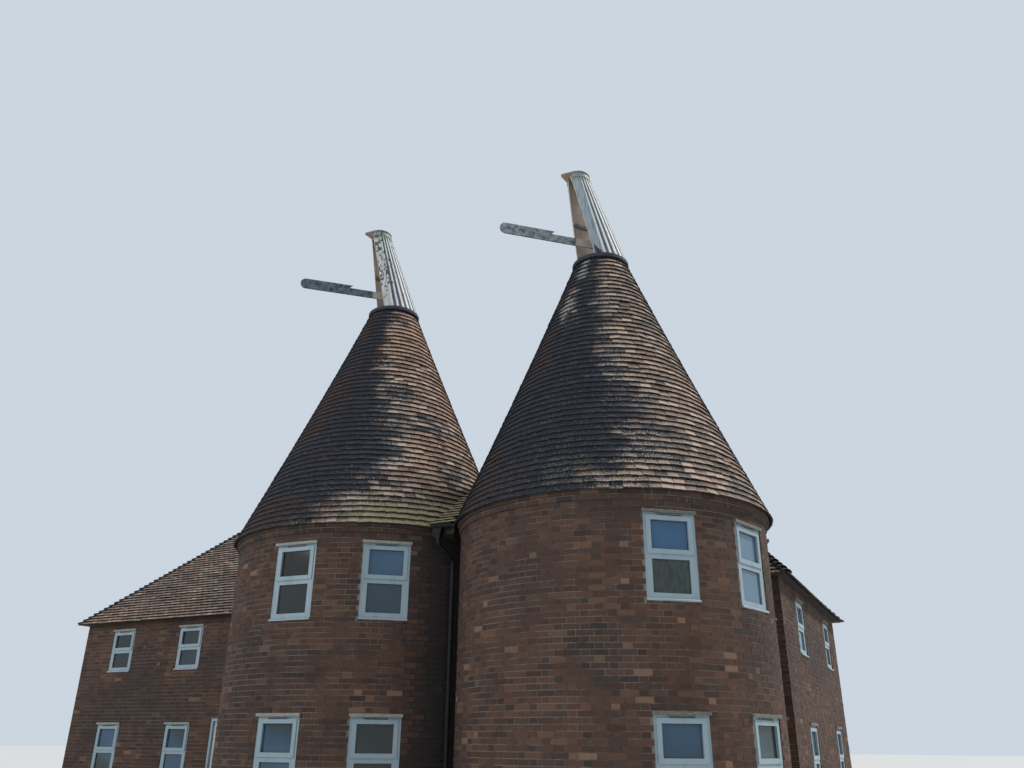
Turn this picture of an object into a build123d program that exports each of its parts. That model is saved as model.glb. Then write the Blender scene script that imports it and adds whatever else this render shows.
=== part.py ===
from build123d import *
import os
from math import cos, radians, sin, sqrt, tan

# A brick oast house: two round kilns side by side against a long hipped stowage.
# Millimetres, +Z up. The ground is z = 0. X runs along the line of kiln centres and
# the origin lies midway between them. The front of the kilns faces -Y.
# An azimuth is measured in degrees from -Y towards +X, as seen from above.

# Fits
seat_gap = 0.3
cowl_running_gap = 8.0
post_hole_gap = 4.0

# Brickwork
wall_thickness = 225.0
brick_course = 75.0

# Kilns
kiln_wall_radius = 2242.5
kiln_wall_top = 4540.0
corbel_courses = 2
corbel_projection = 60.0
roof_eaves_overhang = 47.5
roof_top_radius = 465.0
roof_top_height = 9200.0
roof_bell_sag = 28.0
roof_run_count = 2
roof_shell_thickness = 110.0
kerb_height = 70.0
kerb_outer_lap = 16.0
kerb_chamfer = 10.0
kerb_inner_radius = 335.0
kiln_floor_top = 2450.0
floor_thickness = 200.0
ground_slab_thickness = 100.0

# Windows
window_width = 700.0
window_height = 1130.0
window_sill_upper = 3300.0
window_sill_lower = 930.0
frame_face = 100.0
head_face = 130.0
transom_face = 122.0
frame_depth = 72.0
window_reveal = 10.0
glass_thickness = 24.0
upper_light_share = 0.47
sash_face = 60.0
sash_proud = 14.0
drip_head_height = 38.0
drip_head_projection = 42.0
drip_head_lap = 14.0
vent_width = 350.0
vent_height = 30.0
vent_proud = 20.0
vent_slope = 9.0
vent_drop = 12.0
sill_nose_height = 32.0
sill_nose_projection = 34.0
sill_nose_slope = 11.0

# Windows and wall joints of each kiln, as azimuths
window_azimuths = {"right": (39.6, 75.2, 110.8), "left": (-75.2, 3.8, 39.6)}
wall_joints = (-32.0, 57.4, 146.0, 214.0, 328.0)
wall_segment_names = ("front", "right", "back", "left")

# Doorways from the stowage into the kilns
kiln_door_width = 850.0
kiln_door_height = 1980.0
kiln_upper_door_height = 1640.0

# Stowage
stowage_front = 2100.0
stowage_depth = 6100.0
stowage_left = -11850.0
stowage_right = 4150.0
stowage_front_wall_joint = -3950.0
stowage_wall_top = 4200.0
stowage_pitch = 46.0
stowage_overhang = 150.0
stowage_roof_thickness = 150.0
stowage_window_height = 940.0
stowage_window_sill = 3120.0
stowage_front_windows = (-10600.0, -8500.0, -5600.0)
stowage_back_windows = (-10600.0, -8500.0, -5600.0, -2700.0, 200.0, 2900.0)
stowage_end_windows = (1500.0, 4600.0)
stowage_door_place = -7100.0
door_width = 926.0
door_height = 2040.0
door_leaf_thickness = 44.0
door_frame_face = 60.0

# Infill roof between the kilns
infill_pitch = 37.0
infill_front = -1330.0
infill_ridge_rise = 203.6
infill_side_pitch = 40.0
infill_thickness = 100.0

# Rainwater goods in the recess between the kilns
gutter_radius = 50.0
gutter_wall = 4.0
pipe_radius = 34.0
pipe_place = (62.0, -1120.0)
hopper_place = -40.0
hopper_width = 150.0
hopper_depth = 120.0
hopper_height = 150.0

# Cowls
cowl_height = 1740.0
cowl_base_radius = 450.0
cowl_top_radius = 190.0
cowl_lean = 380.0
cowl_board = 22.0
cowl_mouth_base = 245.0
cowl_mouth_top = 545.0
cowl_azimuth = -46.0
cowl_side_count = 28
cowl_rib_count = 17
rib_base = (34.0, 15.0)
rib_top = (15.0, 9.0)
collar_height = 95.0
collar_proud = 12.0
cap_thickness = 24.0
cap_chamfer = 7.0
cap_overhang = 26.0
cap_reach = 312.0
cap_nose_radius = 45.0
post_radius = 45.0
post_drop = 1228.0
beam_width = 120.0
beam_height = 150.0
upper_beam_drop = 90.0
frame_bar = 45.0
hoop_height = 885.0
vane_bottom = 330.0
vane_arm_height = 140.0
vane_board_height = 200.0
vane_thickness = 28.0
vane_step_place = 860.0
vane_step_lip = 25.0
vane_tip = 1810.0

# Sizes that follow from the ones above
corbel_height = corbel_courses * brick_course
eaves_height = kiln_wall_top + corbel_height
corbel_radius = kiln_wall_radius + corbel_projection
eaves_radius = corbel_radius + roof_eaves_overhang
kiln_inner_radius = kiln_wall_radius - wall_thickness
kiln_spacing = 2 * kiln_wall_radius - wall_thickness
kiln_centres = {"right": (kiln_spacing / 2, 0.0), "left": (-kiln_spacing / 2, 0.0)}
roof_rise = roof_top_height - eaves_height
kerb_top = roof_top_height + kerb_height
cowl_base_height = kerb_top + cowl_running_gap
post_foot = cowl_base_height - post_drop
upper_beam_top = roof_top_height - upper_beam_drop
stowage_back = stowage_front + stowage_depth
stowage_length = stowage_right - stowage_left
stowage_middle = (stowage_left + stowage_right) / 2
stowage_mid_depth = stowage_front + stowage_depth / 2
roofs_meet_height = eaves_height + (eaves_radius - kiln_spacing / 2) * roof_rise / (eaves_radius - roof_top_radius)
infill_ridge_height = roofs_meet_height + infill_ridge_rise
infill_half_reach = (infill_ridge_height - stowage_wall_top) / tan(radians(infill_side_pitch))
kiln_doorway_rows = ((ground_slab_thickness, kiln_door_height), (kiln_floor_top, kiln_upper_door_height))
stowage_window_rows = ((window_sill_lower, window_height), (stowage_window_sill, stowage_window_height))


def turned(shape, azimuth, centre=(0.0, 0.0), height=0.0):
    """Turn a shape that faces -Y to an azimuth about a centre, and lift it."""
    return Pos(centre[0], centre[1], height) * Rot(0, 0, azimuth) * shape


def ring(inner, outer, height):
    """A plain ring that stands on z = 0."""
    profile = Plane.XZ * Pos((inner + outer) / 2, height / 2) * Rectangle(outer - inner, height)
    return revolve(profile, Axis.Z)


def roof_profile(inset=0.0):
    """The face between the axis and the roof's slightly hollow slope, set in by a thickness."""
    slope = sqrt((eaves_radius - roof_top_radius) ** 2 + roof_rise**2)
    level = inset * slope / roof_rise
    points = [(0, eaves_height)]
    for count in range(roof_run_count + 1):
        share = count / roof_run_count
        straight = eaves_radius + share * (roof_top_radius - eaves_radius)
        hollow = 4 * roof_bell_sag * share * (1 - share)
        points.append((straight - hollow - level, eaves_height + share * roof_rise))
    points.append((0, roof_top_height))
    return Plane.XZ * make_face(Polyline(*points, close=True))


def kiln_envelope(side):
    """Everything inside a kiln's outer faces, with a seat gap, for cutting its neighbours."""
    body = Cylinder(kiln_wall_radius + seat_gap, kiln_wall_top, align=(Align.CENTER, Align.CENTER, Align.MIN))
    head = Cylinder(eaves_radius + seat_gap, corbel_height, align=(Align.CENTER, Align.CENTER, Align.MIN))
    roof = revolve(roof_profile(-seat_gap), Axis.Z)
    return Pos(*kiln_centres[side], 0) * (body + Pos(0, 0, kiln_wall_top) * head + roof)


def mid_plane_half(side):
    """The half space on a kiln's own side of the plane between the two kilns."""
    sign = 1 if side == "right" else -1
    reach = 4 * kiln_wall_radius
    return Pos(sign * (reach / 2 + seat_gap / 2), 0, roof_top_height / 2) * Box(reach, reach, 2 * roof_top_height)


def window_opening(width, height):
    """The hole that a window needs, standing on z = 0 and centred on the wall."""
    return Pos(0, 0, height / 2) * Box(width, 3 * wall_thickness, height)


def window_lights(width, height):
    """The width of a window's two lights, and the sill and height of each, the fixed lower one first."""
    light_width = width - 2 * seat_gap - 2 * frame_face
    free_height = height - 2 * seat_gap - frame_face - transom_face - head_face
    upper_height = free_height * upper_light_share
    lower_height = free_height - upper_height
    lower_sill = seat_gap + frame_face
    upper_sill = lower_sill + lower_height + transom_face
    return light_width, (lower_sill, lower_height), (upper_sill, upper_height)


def window_frame(width, height):
    """A frame with an opening sash over a fixed light. Its face is y = 0 and its sill z = 0."""
    outer_width = width - 2 * seat_gap
    outer_height = height - 2 * seat_gap
    light_width, lower_light, upper_light = window_lights(width, height)
    upper_sill, upper_height = upper_light
    low = (Align.CENTER, Align.MIN, Align.MIN)
    front = (Align.CENTER, Align.MAX, Align.MIN)
    through = (Align.CENTER, Align.CENTER, Align.MIN)
    frame = Pos(0, 0, seat_gap) * Box(outer_width, frame_depth, outer_height, align=low)
    for sill, light_height in (lower_light, upper_light):
        frame -= Pos(0, 0, sill) * Box(light_width, 3 * frame_depth, light_height, align=through)
    sash = Pos(0, 0, upper_sill - sash_face) * Box(
        light_width + 2 * sash_face, sash_proud, upper_height + 2 * sash_face, align=front)
    sash -= Pos(0, 0, upper_sill) * Box(light_width, 3 * sash_proud, upper_height, align=through)
    lap_depth = drip_head_projection - window_reveal - seat_gap
    head_height = outer_height - drip_head_height
    head = Pos(0, 0, head_height) * Box(outer_width, drip_head_projection, drip_head_height, align=front)
    head += Pos(0, -window_reveal - seat_gap, head_height) * Box(
        outer_width + 2 * drip_head_lap, lap_depth, drip_head_height, align=front)
    vent = Pos(0, 0, head_height - vent_drop - vent_height) * Box(vent_width, vent_proud, vent_height, align=front)
    vent = chamfer(vent.edges().filter_by(Axis.X).sort_by(Axis.Y)[:2], vent_slope)
    nose = Pos(0, 0, seat_gap) * Box(outer_width, sill_nose_projection, sill_nose_height, align=front)
    nose = chamfer(nose.edges().filter_by(Axis.X).group_by(Axis.Z)[-1].sort_by(Axis.Y)[0], sill_nose_slope)
    return frame + sash + head + vent + nose


def window_glass(width, height):
    """The two panes of a window frame, as separate solids."""
    light_width, lower_light, upper_light = window_lights(width, height)
    low = (Align.CENTER, Align.CENTER, Align.MIN)
    panes = []
    for sill, light_height in (lower_light, upper_light):
        pane = Box(light_width - 2 * seat_gap, glass_thickness, light_height - 2 * seat_gap, align=low)
        panes.append(Pos(0, frame_depth / 2, sill + seat_gap) * pane)
    return panes


def kiln_window_places(side):
    """The places of a kiln's windows: one upper and one lower window at each azimuth."""
    chord_depth = sqrt(kiln_wall_radius**2 - (window_width / 2) ** 2)
    face = window_reveal - chord_depth
    places = []
    for azimuth in window_azimuths[side]:
        for sill in (window_sill_lower, window_sill_upper):
            place = Pos(*kiln_centres[side], sill) * Rot(0, 0, azimuth) * Pos(0, face, 0)
            places.append(place)
    return places


def kiln_wall(side):
    """The kiln's round wall in segments, with its windows and its doorways cut through."""
    centre = kiln_centres[side]
    cutters = []
    for place in kiln_window_places(side):
        cutters.append(place * window_opening(window_width, window_height))
    for sill, height in kiln_doorway_rows:
        cutters.append(Pos(centre[0], stowage_front, sill) * window_opening(kiln_door_width, height))
    stowage_wall = Pos(centre[0], stowage_front, 0) * Box(
        3 * kiln_wall_radius, stowage_depth, stowage_wall_top, align=(Align.CENTER, Align.MIN, Align.MIN))
    cutters.append(stowage_wall)
    if side == "left":
        neighbour = Cylinder(kiln_wall_radius + seat_gap, 2 * kiln_wall_top)
        cutters.append(Pos(*kiln_centres["right"], 0) * neighbour)
    profile = Plane.XZ * Pos((kiln_inner_radius + kiln_wall_radius) / 2, kiln_wall_top / 2) * Rectangle(
        wall_thickness, kiln_wall_top)
    pieces = {}
    for name, start, end in zip(wall_segment_names, wall_joints[:-1], wall_joints[1:]):
        segment = turned(revolve(profile, Axis.Z, end - start), start - 90, centre)
        for cutter in cutters:
            segment -= cutter
        pieces[f"{side}_kiln_wall_{name}"] = segment
    return pieces


def kiln_corbel(side):
    """Oversailing brick courses, each with its lower edge rounded in two facets, under the eaves."""
    step = corbel_projection / corbel_courses
    out = step * sin(radians(45))
    up = step - step * cos(radians(45))
    points = [(kiln_inner_radius, 0)]
    for course in range(corbel_courses):
        face = kiln_wall_radius + course * step
        bed = course * brick_course
        points += [(face, bed), (face + out, bed + up), (face + step, bed + step)]
    points += [(corbel_radius, corbel_height), (kiln_inner_radius, corbel_height)]
    profile = Plane.XZ * make_face(Polyline(*points, close=True))
    corbel = Pos(*kiln_centres[side], kiln_wall_top) * revolve(profile, Axis.Z)
    if side == "left":
        corbel -= Pos(*kiln_centres["right"], kiln_wall_top) * Cylinder(corbel_radius + seat_gap, 2 * corbel_height)
    return corbel


def kiln_roof(side):
    """The hollow cone of the kiln's roof, cut where the two roofs meet."""
    shell = revolve(roof_profile(), Axis.Z) - revolve(roof_profile(roof_shell_thickness), Axis.Z)
    return (Pos(*kiln_centres[side], 0) * shell) & mid_plane_half(side)


def kiln_kerb(side):
    """The dressed ring on the roof's top edge that the cowl turns over."""
    outer = roof_top_radius + kerb_outer_lap
    kerb = ring(kerb_inner_radius, outer, kerb_height)
    kerb = chamfer(kerb.edges().filter_by(GeomType.CIRCLE).sort_by(SortBy.RADIUS)[-2:], kerb_chamfer)
    return Pos(*kiln_centres[side], roof_top_height) * kerb


def kiln_floor(side, top, thickness):
    """A round floor inside a kiln's wall."""
    disc = Cylinder(kiln_inner_radius - seat_gap, thickness, align=(Align.CENTER, Align.CENTER, Align.MAX))
    floor = Pos(*kiln_centres[side], top) * disc
    if side == "left":
        floor -= Pos(*kiln_centres["right"], 0) * Cylinder(kiln_wall_radius + seat_gap, 4 * top)
    return floor


def cowl_beams(side):
    """The two beams in the roof's head: one bears the cowl's post, the other steadies it."""
    room = revolve(roof_profile(roof_shell_thickness + seat_gap), Axis.Z)
    down = (Align.CENTER, Align.CENTER, Align.MAX)
    lower = Pos(0, 0, post_foot - seat_gap) * Box(4 * roof_top_radius, beam_width, beam_height, align=down)
    upper = Pos(0, 0, upper_beam_top) * Box(4 * roof_top_radius, beam_width, beam_height, align=down)
    upper -= Pos(0, 0, upper_beam_top) * Cylinder(post_radius + post_hole_gap, 3 * beam_height)
    place = Pos(*kiln_centres[side], 0)
    return Compound(children=[place * (lower & room), place * (upper & room)])


def leaning_cone(inset):
    """The cowl's leaning cone of flat boards, shrunk by an inset. Its base is z = 0."""
    base = Plane.XY * RegularPolygon(cowl_base_radius - inset, cowl_side_count, rotation=90)
    top = Plane.XY.offset(cowl_height) * Pos(0, -cowl_lean) * RegularPolygon(
        cowl_top_radius - inset, cowl_side_count, rotation=90)
    return loft([base.face(), top.face()], ruled=True)


def cowl_mouth():
    """Everything in front of the sloping plane that the cowl's mouth lies in."""
    far = 4 * cowl_base_radius
    extra = cowl_height / 2
    slope = (cowl_mouth_top - cowl_mouth_base) / cowl_height
    outline = Polyline(
        (-cowl_mouth_base + slope * extra, -extra),
        (-far, -extra),
        (-far, cowl_height + extra),
        (-cowl_mouth_top - slope * extra, cowl_height + extra),
        close=True,
    )
    return extrude(Plane.YZ * make_face(outline), far, both=True)


def cowl_rib(azimuth):
    """One tapered cover strip that lies along the cowl's boards."""
    turn = radians(azimuth)
    direction = (sin(turn), -cos(turn))
    sections = []
    for height, radius, lean, (width, depth) in (
        (0.0, cowl_base_radius, 0.0, rib_base),
        (cowl_height, cowl_top_radius, cowl_lean, rib_top),
    ):
        reach = radius + depth / 2 - cowl_board / 4
        spot = (direction[0] * reach, direction[1] * reach - lean)
        section = Pos(spot[0], spot[1], height) * Rot(0, 0, azimuth) * Rectangle(width, depth + cowl_board / 2)
        sections.append(section.face())
    return loft(sections, ruled=True)


def level_band(bottom, top):
    """Everything between two heights above the cowl's base."""
    reach = 4 * (cowl_base_radius + cowl_lean)
    return Pos(0, 0, (bottom + top) / 2) * Box(reach, reach, top - bottom)


def cowl_hood():
    """The boarded hood on its hoop: a leaning cone with an open mouth, strips on its joints and a collar."""
    hood = leaning_cone(0.0)
    for count in range(cowl_rib_count):
        place = count - (cowl_rib_count - 1) / 2
        hood += cowl_rib(180.0 + place * 360.0 / cowl_side_count)
    hood += leaning_cone(-collar_proud) & level_band(cowl_height - collar_height, cowl_height)
    hoop_room = leaning_cone(cowl_board + frame_bar) & level_band(hoop_height, hoop_height + frame_bar)
    hollow = leaning_cone(cowl_board) - level_band(hoop_height, hoop_height + frame_bar) + hoop_room
    return hood - hollow - cowl_mouth()


def cowl_cap():
    """The thin lid on the cowl, which reaches out over the mouth like a beak."""
    round_part = Circle(cowl_top_radius + cap_overhang)
    nose = Pos(0, cap_nose_radius - cap_reach) * Circle(cap_nose_radius)
    lid = extrude(make_hull(round_part.edges() + nose.edges()), cap_thickness)
    lid = chamfer(lid.edges().group_by(Axis.Z)[-1], cap_chamfer)
    return Pos(0, -cowl_lean, cowl_height) * lid


def cowl_frame():
    """The cowl's turning post with the bars at its base and the strut on its head that carry the hood."""
    foot = post_foot - cowl_base_height
    post = Pos(0, 0, foot) * Cylinder(post_radius, hoop_height - foot, align=(Align.CENTER, Align.CENTER, Align.MIN))
    base_bars = Pos(0, 0, frame_bar / 2) * (
        Box(4 * cowl_base_radius, frame_bar, frame_bar)
        + Pos(0, cowl_base_radius) * Box(frame_bar, 2 * cowl_base_radius, frame_bar))
    bars = (base_bars & leaning_cone(cowl_board + seat_gap)) - cowl_mouth()
    strut = Pos(0, -post_radius, hoop_height) * Box(
        frame_bar, 2 * cowl_base_radius, frame_bar, align=(Align.CENTER, Align.MIN, Align.MIN))
    strut &= leaning_cone(cowl_board + frame_bar + seat_gap)
    return post + bars + strut


def cowl_vane():
    """The long finger board: a narrow arm from the post, a step, and a round-ended board."""
    start = -(post_radius + seat_gap)
    step = -vane_step_place
    centre = -(vane_tip - vane_board_height / 2)
    top = vane_bottom + vane_board_height
    middle = vane_bottom + vane_board_height / 2
    arm_top = vane_bottom + vane_arm_height
    throat = step - vane_step_lip
    hollow = vane_step_lip * cos(radians(45))
    edges = [
        Line((start, vane_bottom), (start, arm_top)),
        Line((start, arm_top), (step, arm_top)),
        ThreePointArc(
            (step, arm_top), (step - hollow, arm_top + vane_step_lip - hollow), (throat, arm_top + vane_step_lip)),
        Line((throat, arm_top + vane_step_lip), (step + vane_step_lip, top)),
        Line((step + vane_step_lip, top), (centre, top)),
        ThreePointArc((centre, top), (-vane_tip, middle), (centre, vane_bottom)),
        Line((centre, vane_bottom), (start, vane_bottom)),
    ]
    outline = make_face(Wire(edges))
    return extrude(Plane.YZ * outline, vane_thickness / 2, both=True)


def hip_solid(drop=0.0):
    """The stowage roof's outside as a solid block, lowered by a drop."""
    half_depth = stowage_depth / 2 + stowage_overhang
    half_length = stowage_length / 2 + stowage_overhang
    rise = half_depth * tan(radians(stowage_pitch))
    base = stowage_wall_top - drop
    across = Polyline((-half_depth, base), (half_depth, base), (0, base + rise), close=True)
    along = Polyline(
        (-half_length, base), (half_length, base),
        (half_length - half_depth, base + rise), (half_depth - half_length, base + rise), close=True)
    gable = extrude(Plane.YZ * make_face(across), half_length, both=True)
    ends = extrude(Plane.XZ * make_face(along), half_depth, both=True)
    return Pos(stowage_middle, stowage_mid_depth, 0) * (gable & ends)


def stowage_roof():
    """The hipped shell of the stowage's roof, cut back from the kilns."""
    drop = stowage_roof_thickness / cos(radians(stowage_pitch))
    shell = hip_solid() - hip_solid(drop)
    for side in kiln_centres:
        shell -= kiln_envelope(side)
    return shell


def infill_block(drop=0.0):
    """The outside of the small roof between the kilns, lowered by a drop."""
    rise = infill_half_reach * tan(radians(infill_side_pitch))
    ridge = infill_ridge_height - drop
    across = Polyline((-infill_half_reach, ridge - rise), (infill_half_reach, ridge - rise), (0, ridge), close=True)
    run = (infill_ridge_height - eaves_height) / tan(radians(infill_pitch))
    back = stowage_mid_depth
    low = kiln_wall_top - drop
    along = Polyline(
        (infill_front, low), (infill_front, eaves_height - drop),
        (infill_front + run, ridge), (back, ridge), (back, low), close=True)
    gable = extrude(Plane.XZ * make_face(across), 2 * stowage_depth, both=True)
    ends = extrude(Plane.YZ * make_face(along), infill_half_reach, both=True)
    return gable & ends


def infill_roof():
    """The small saddle roof between the kilns, without the offcuts that their curves leave beside it."""
    void = infill_block(infill_thickness / cos(radians(infill_pitch)))
    reach = 4 * stowage_depth
    open_from = -sqrt(kiln_wall_radius**2 - (kiln_spacing / 2) ** 2)
    void &= Pos(0, open_from + reach / 2, 0) * Box(reach, reach, reach)
    roof = infill_block() - void
    for side in kiln_centres:
        roof -= kiln_envelope(side)
    roof -= Pos(0, 0, seat_gap) * hip_solid()
    return max(roof.solids(), key=lambda solid: solid.volume)


def stowage_openings(places):
    """Window holes for a straight wall along X that faces -Y, one above the other."""
    holes = []
    for place in places:
        for sill, height in stowage_window_rows:
            holes.append(Pos(place, 0, sill) * window_opening(window_width, height))
    return holes


def straight_wall(length):
    """A wall of the stowage along X whose outer face is y = 0, standing on z = 0."""
    return Box(length, wall_thickness, stowage_wall_top, align=(Align.MIN, Align.MIN, Align.MIN))


def kiln_side_walls():
    """The wall that the kilns stand against: its full-height lengths, and what is under and over the doorways."""
    wall = Pos(stowage_front_wall_joint, stowage_front, 0) * straight_wall(stowage_right - stowage_front_wall_joint)
    lengths = wall
    doorway_walls = []
    for centre in kiln_centres.values():
        strip = Pos(centre[0], stowage_front, 0) * window_opening(kiln_door_width, stowage_wall_top)
        lengths -= strip
        filled = wall & strip
        for sill, height in kiln_doorway_rows:
            filled -= Pos(centre[0], stowage_front, sill) * window_opening(kiln_door_width, height)
        doorway_walls += filled.solids()
    return {"stowage_kiln_side_wall": lengths, "stowage_doorway_walls": Compound(children=doorway_walls)}


def stowage_walls():
    """The stowage's other walls. The long ones run past the end walls."""
    front = Pos(stowage_left, stowage_front, 0) * straight_wall(stowage_front_wall_joint - stowage_left)
    for hole in stowage_openings(stowage_front_windows):
        front -= Pos(0, stowage_front, 0) * hole
    front -= Pos(stowage_door_place, stowage_front, ground_slab_thickness) * window_opening(door_width, door_height)
    back = Pos(stowage_left, stowage_back - wall_thickness, 0) * straight_wall(stowage_length)
    for hole in stowage_openings(stowage_back_windows):
        back -= Pos(0, stowage_back, 0) * hole
    end_length = stowage_depth - 2 * wall_thickness
    end = straight_wall(end_length)
    for hole in stowage_openings(stowage_end_windows):
        end -= hole
    left_end = Pos(stowage_left, stowage_back - wall_thickness, 0) * Rot(0, 0, -90) * end
    right_end = Pos(stowage_right, stowage_front + wall_thickness, 0) * Rot(0, 0, 90) * end
    return {
        "stowage_front_wall": front,
        "stowage_back_wall": back,
        "stowage_left_wall": left_end,
        "stowage_right_wall": right_end,
    }


def stowage_window_places():
    """The places of the stowage's windows on its four walls, each with its height."""
    places = []
    for sill, height in stowage_window_rows:
        for along in stowage_front_windows:
            places.append((Pos(along, stowage_front + window_reveal, sill), height))
        for along in stowage_back_windows:
            places.append((Pos(along, stowage_back - window_reveal, sill) * Rot(0, 0, 180), height))
        for along in stowage_end_windows:
            left = Pos(stowage_left, stowage_back - wall_thickness, sill) * Rot(0, 0, -90)
            right = Pos(stowage_right, stowage_front + wall_thickness, sill) * Rot(0, 0, 90)
            places.append((left * Pos(along, window_reveal, 0), height))
            places.append((right * Pos(along, window_reveal, 0), height))
    return places


def stowage_floor(top, thickness):
    """A floor between the stowage's walls."""
    length = stowage_length - 2 * wall_thickness - 2 * seat_gap
    depth = stowage_depth - 2 * wall_thickness - 2 * seat_gap
    return Pos(stowage_middle, stowage_mid_depth, top) * Box(
        length, depth, thickness, align=(Align.CENTER, Align.CENTER, Align.MAX))


def entrance_door():
    """A plain boarded door in its frame."""
    outer = window_opening(door_width - 2 * seat_gap, door_height - seat_gap)
    outer &= Box(2 * door_width, 2 * frame_depth, 3 * door_height)
    inner = Pos(0, 0, -door_frame_face) * window_opening(door_width - 2 * door_frame_face, door_height)
    frame = outer - inner
    leaf_width = door_width - 2 * door_frame_face - 2 * seat_gap
    leaf_height = door_height - door_frame_face - 2 * seat_gap
    leaf = Box(leaf_width, door_leaf_thickness, leaf_height, align=(Align.CENTER, Align.CENTER, Align.MIN))
    place = Pos(stowage_door_place, stowage_front + frame_depth + window_reveal, ground_slab_thickness)
    return {"door_frame": place * frame, "door_leaf": place * Pos(0, 0, seat_gap) * leaf}


def rainwater_gutter():
    """A short half-round gutter under the infill roof's eaves, with its hopper."""
    span = 2 * (kiln_spacing / 2 - sqrt(eaves_radius**2 - infill_front**2)) - 2 * gutter_wall
    profile = Circle(gutter_radius) - Circle(gutter_radius - gutter_wall)
    profile &= Pos(0, -gutter_radius) * Rectangle(3 * gutter_radius, 2 * gutter_radius)
    trough = extrude(Plane.YZ * profile, span / 2, both=True)
    return Pos(0, infill_front - gutter_radius - seat_gap, eaves_height - gutter_radius / 2) * trough


def rainwater_pipe():
    """The hopper, the swan neck and the downpipe in the recess, as one run."""
    top = eaves_height - gutter_radius / 2 - gutter_radius - seat_gap
    front = infill_front - hopper_depth / 2 - seat_gap
    mouth = Pos(hopper_place, front, top) * Rectangle(hopper_width, hopper_depth)
    throat = Pos(hopper_place, front, top - hopper_height) * Rectangle(2 * pipe_radius, 2 * pipe_radius)
    hopper = loft([throat.face(), mouth.face()])
    neck_top = top - hopper_height
    fall = 2 * hopper_height
    path = FilletPolyline(
        (hopper_place, front, neck_top + pipe_radius),
        (hopper_place, front, neck_top - 2 * pipe_radius),
        (pipe_place[0], pipe_place[1], neck_top - fall),
        (pipe_place[0], pipe_place[1], 3 * pipe_radius),
        radius=2 * pipe_radius,
    )
    section = Plane(origin=path @ 0, z_dir=path % 0) * Circle(pipe_radius)
    return hopper + sweep(section, path=path)


def build_parts():
    """Every named piece of the building."""
    parts = {}
    for side in kiln_centres:
        parts.update(kiln_wall(side))
        parts[f"{side}_kiln_corbel"] = kiln_corbel(side)
        parts[f"{side}_kiln_roof"] = kiln_roof(side)
        parts[f"{side}_kiln_kerb"] = kiln_kerb(side)
        parts[f"{side}_kiln_upper_floor"] = kiln_floor(side, kiln_floor_top, floor_thickness)
        parts[f"{side}_kiln_ground_floor"] = kiln_floor(side, ground_slab_thickness, ground_slab_thickness)
        parts[f"{side}_kiln_beams"] = cowl_beams(side)
        frames = [place * window_frame(window_width, window_height) for place in kiln_window_places(side)]
        panes = []
        for place in kiln_window_places(side):
            panes += [place * pane for pane in window_glass(window_width, window_height)]
        parts[f"{side}_kiln_windows"] = Compound(children=frames)
        parts[f"{side}_kiln_glass"] = Compound(children=panes)
        for name, piece in (
            ("hood", cowl_hood()), ("cap", cowl_cap()), ("post", cowl_frame()), ("vane", cowl_vane())):
            parts[f"{side}_cowl_{name}"] = turned(piece, cowl_azimuth, kiln_centres[side], cowl_base_height)
    parts.update(stowage_walls())
    parts.update(kiln_side_walls())
    parts["stowage_roof"] = stowage_roof()
    parts["stowage_upper_floor"] = stowage_floor(kiln_floor_top, floor_thickness)
    parts["stowage_ground_floor"] = stowage_floor(ground_slab_thickness, ground_slab_thickness)
    frames = []
    panes = []
    for place, height in stowage_window_places():
        frames.append(place * window_frame(window_width, height))
        panes += [place * pane for pane in window_glass(window_width, height)]
    parts["stowage_windows"] = Compound(children=frames)
    parts["stowage_glass"] = Compound(children=panes)
    parts.update(entrance_door())
    parts["infill_roof"] = infill_roof()
    parts["rainwater_gutter"] = rainwater_gutter()
    parts["rainwater_pipe"] = rainwater_pipe()
    return parts


os.makedirs("parts", exist_ok=True)
for node_name, node_shape in build_parts().items():
    export_step(node_shape, f"parts/{node_name}.step")
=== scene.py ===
from itertools import product
from math import asin, atan2, ceil, cos, hypot, pi, radians, sin, sqrt, tan

import bpy
import numpy as np
from mathutils import Matrix, Vector


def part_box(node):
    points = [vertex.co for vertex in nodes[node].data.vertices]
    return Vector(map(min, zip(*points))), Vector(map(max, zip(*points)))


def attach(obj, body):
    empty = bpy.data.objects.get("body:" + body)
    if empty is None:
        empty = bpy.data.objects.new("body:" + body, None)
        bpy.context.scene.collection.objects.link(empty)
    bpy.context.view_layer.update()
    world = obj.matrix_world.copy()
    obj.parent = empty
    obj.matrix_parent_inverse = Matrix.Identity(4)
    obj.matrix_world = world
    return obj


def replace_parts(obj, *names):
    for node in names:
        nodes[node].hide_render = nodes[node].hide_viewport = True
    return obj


# The looks of a brick oast house with two round kilns and a hipped stowage.
# Metres, +Z up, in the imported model's frame. An azimuth is in degrees from -Y towards +X.

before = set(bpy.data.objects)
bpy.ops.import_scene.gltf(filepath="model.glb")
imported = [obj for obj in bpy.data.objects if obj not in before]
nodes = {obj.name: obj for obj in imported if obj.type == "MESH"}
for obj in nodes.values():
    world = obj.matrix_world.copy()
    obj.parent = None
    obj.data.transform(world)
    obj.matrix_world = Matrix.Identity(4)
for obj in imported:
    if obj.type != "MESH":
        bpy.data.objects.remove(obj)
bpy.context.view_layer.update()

# Bricks
BRICK_LENGTH = 0.215
BRICK_WIDTH = 0.1025
BRICK_COURSE = 0.075
MORTAR_JOINT = 0.010
BRICK_PROUD = 0.0045
BRICK_BED = 0.030
SHORTEST_BRICK = 0.030
CORBEL_COURSES = 2
CORBEL_PROUD = 0.0025

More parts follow.
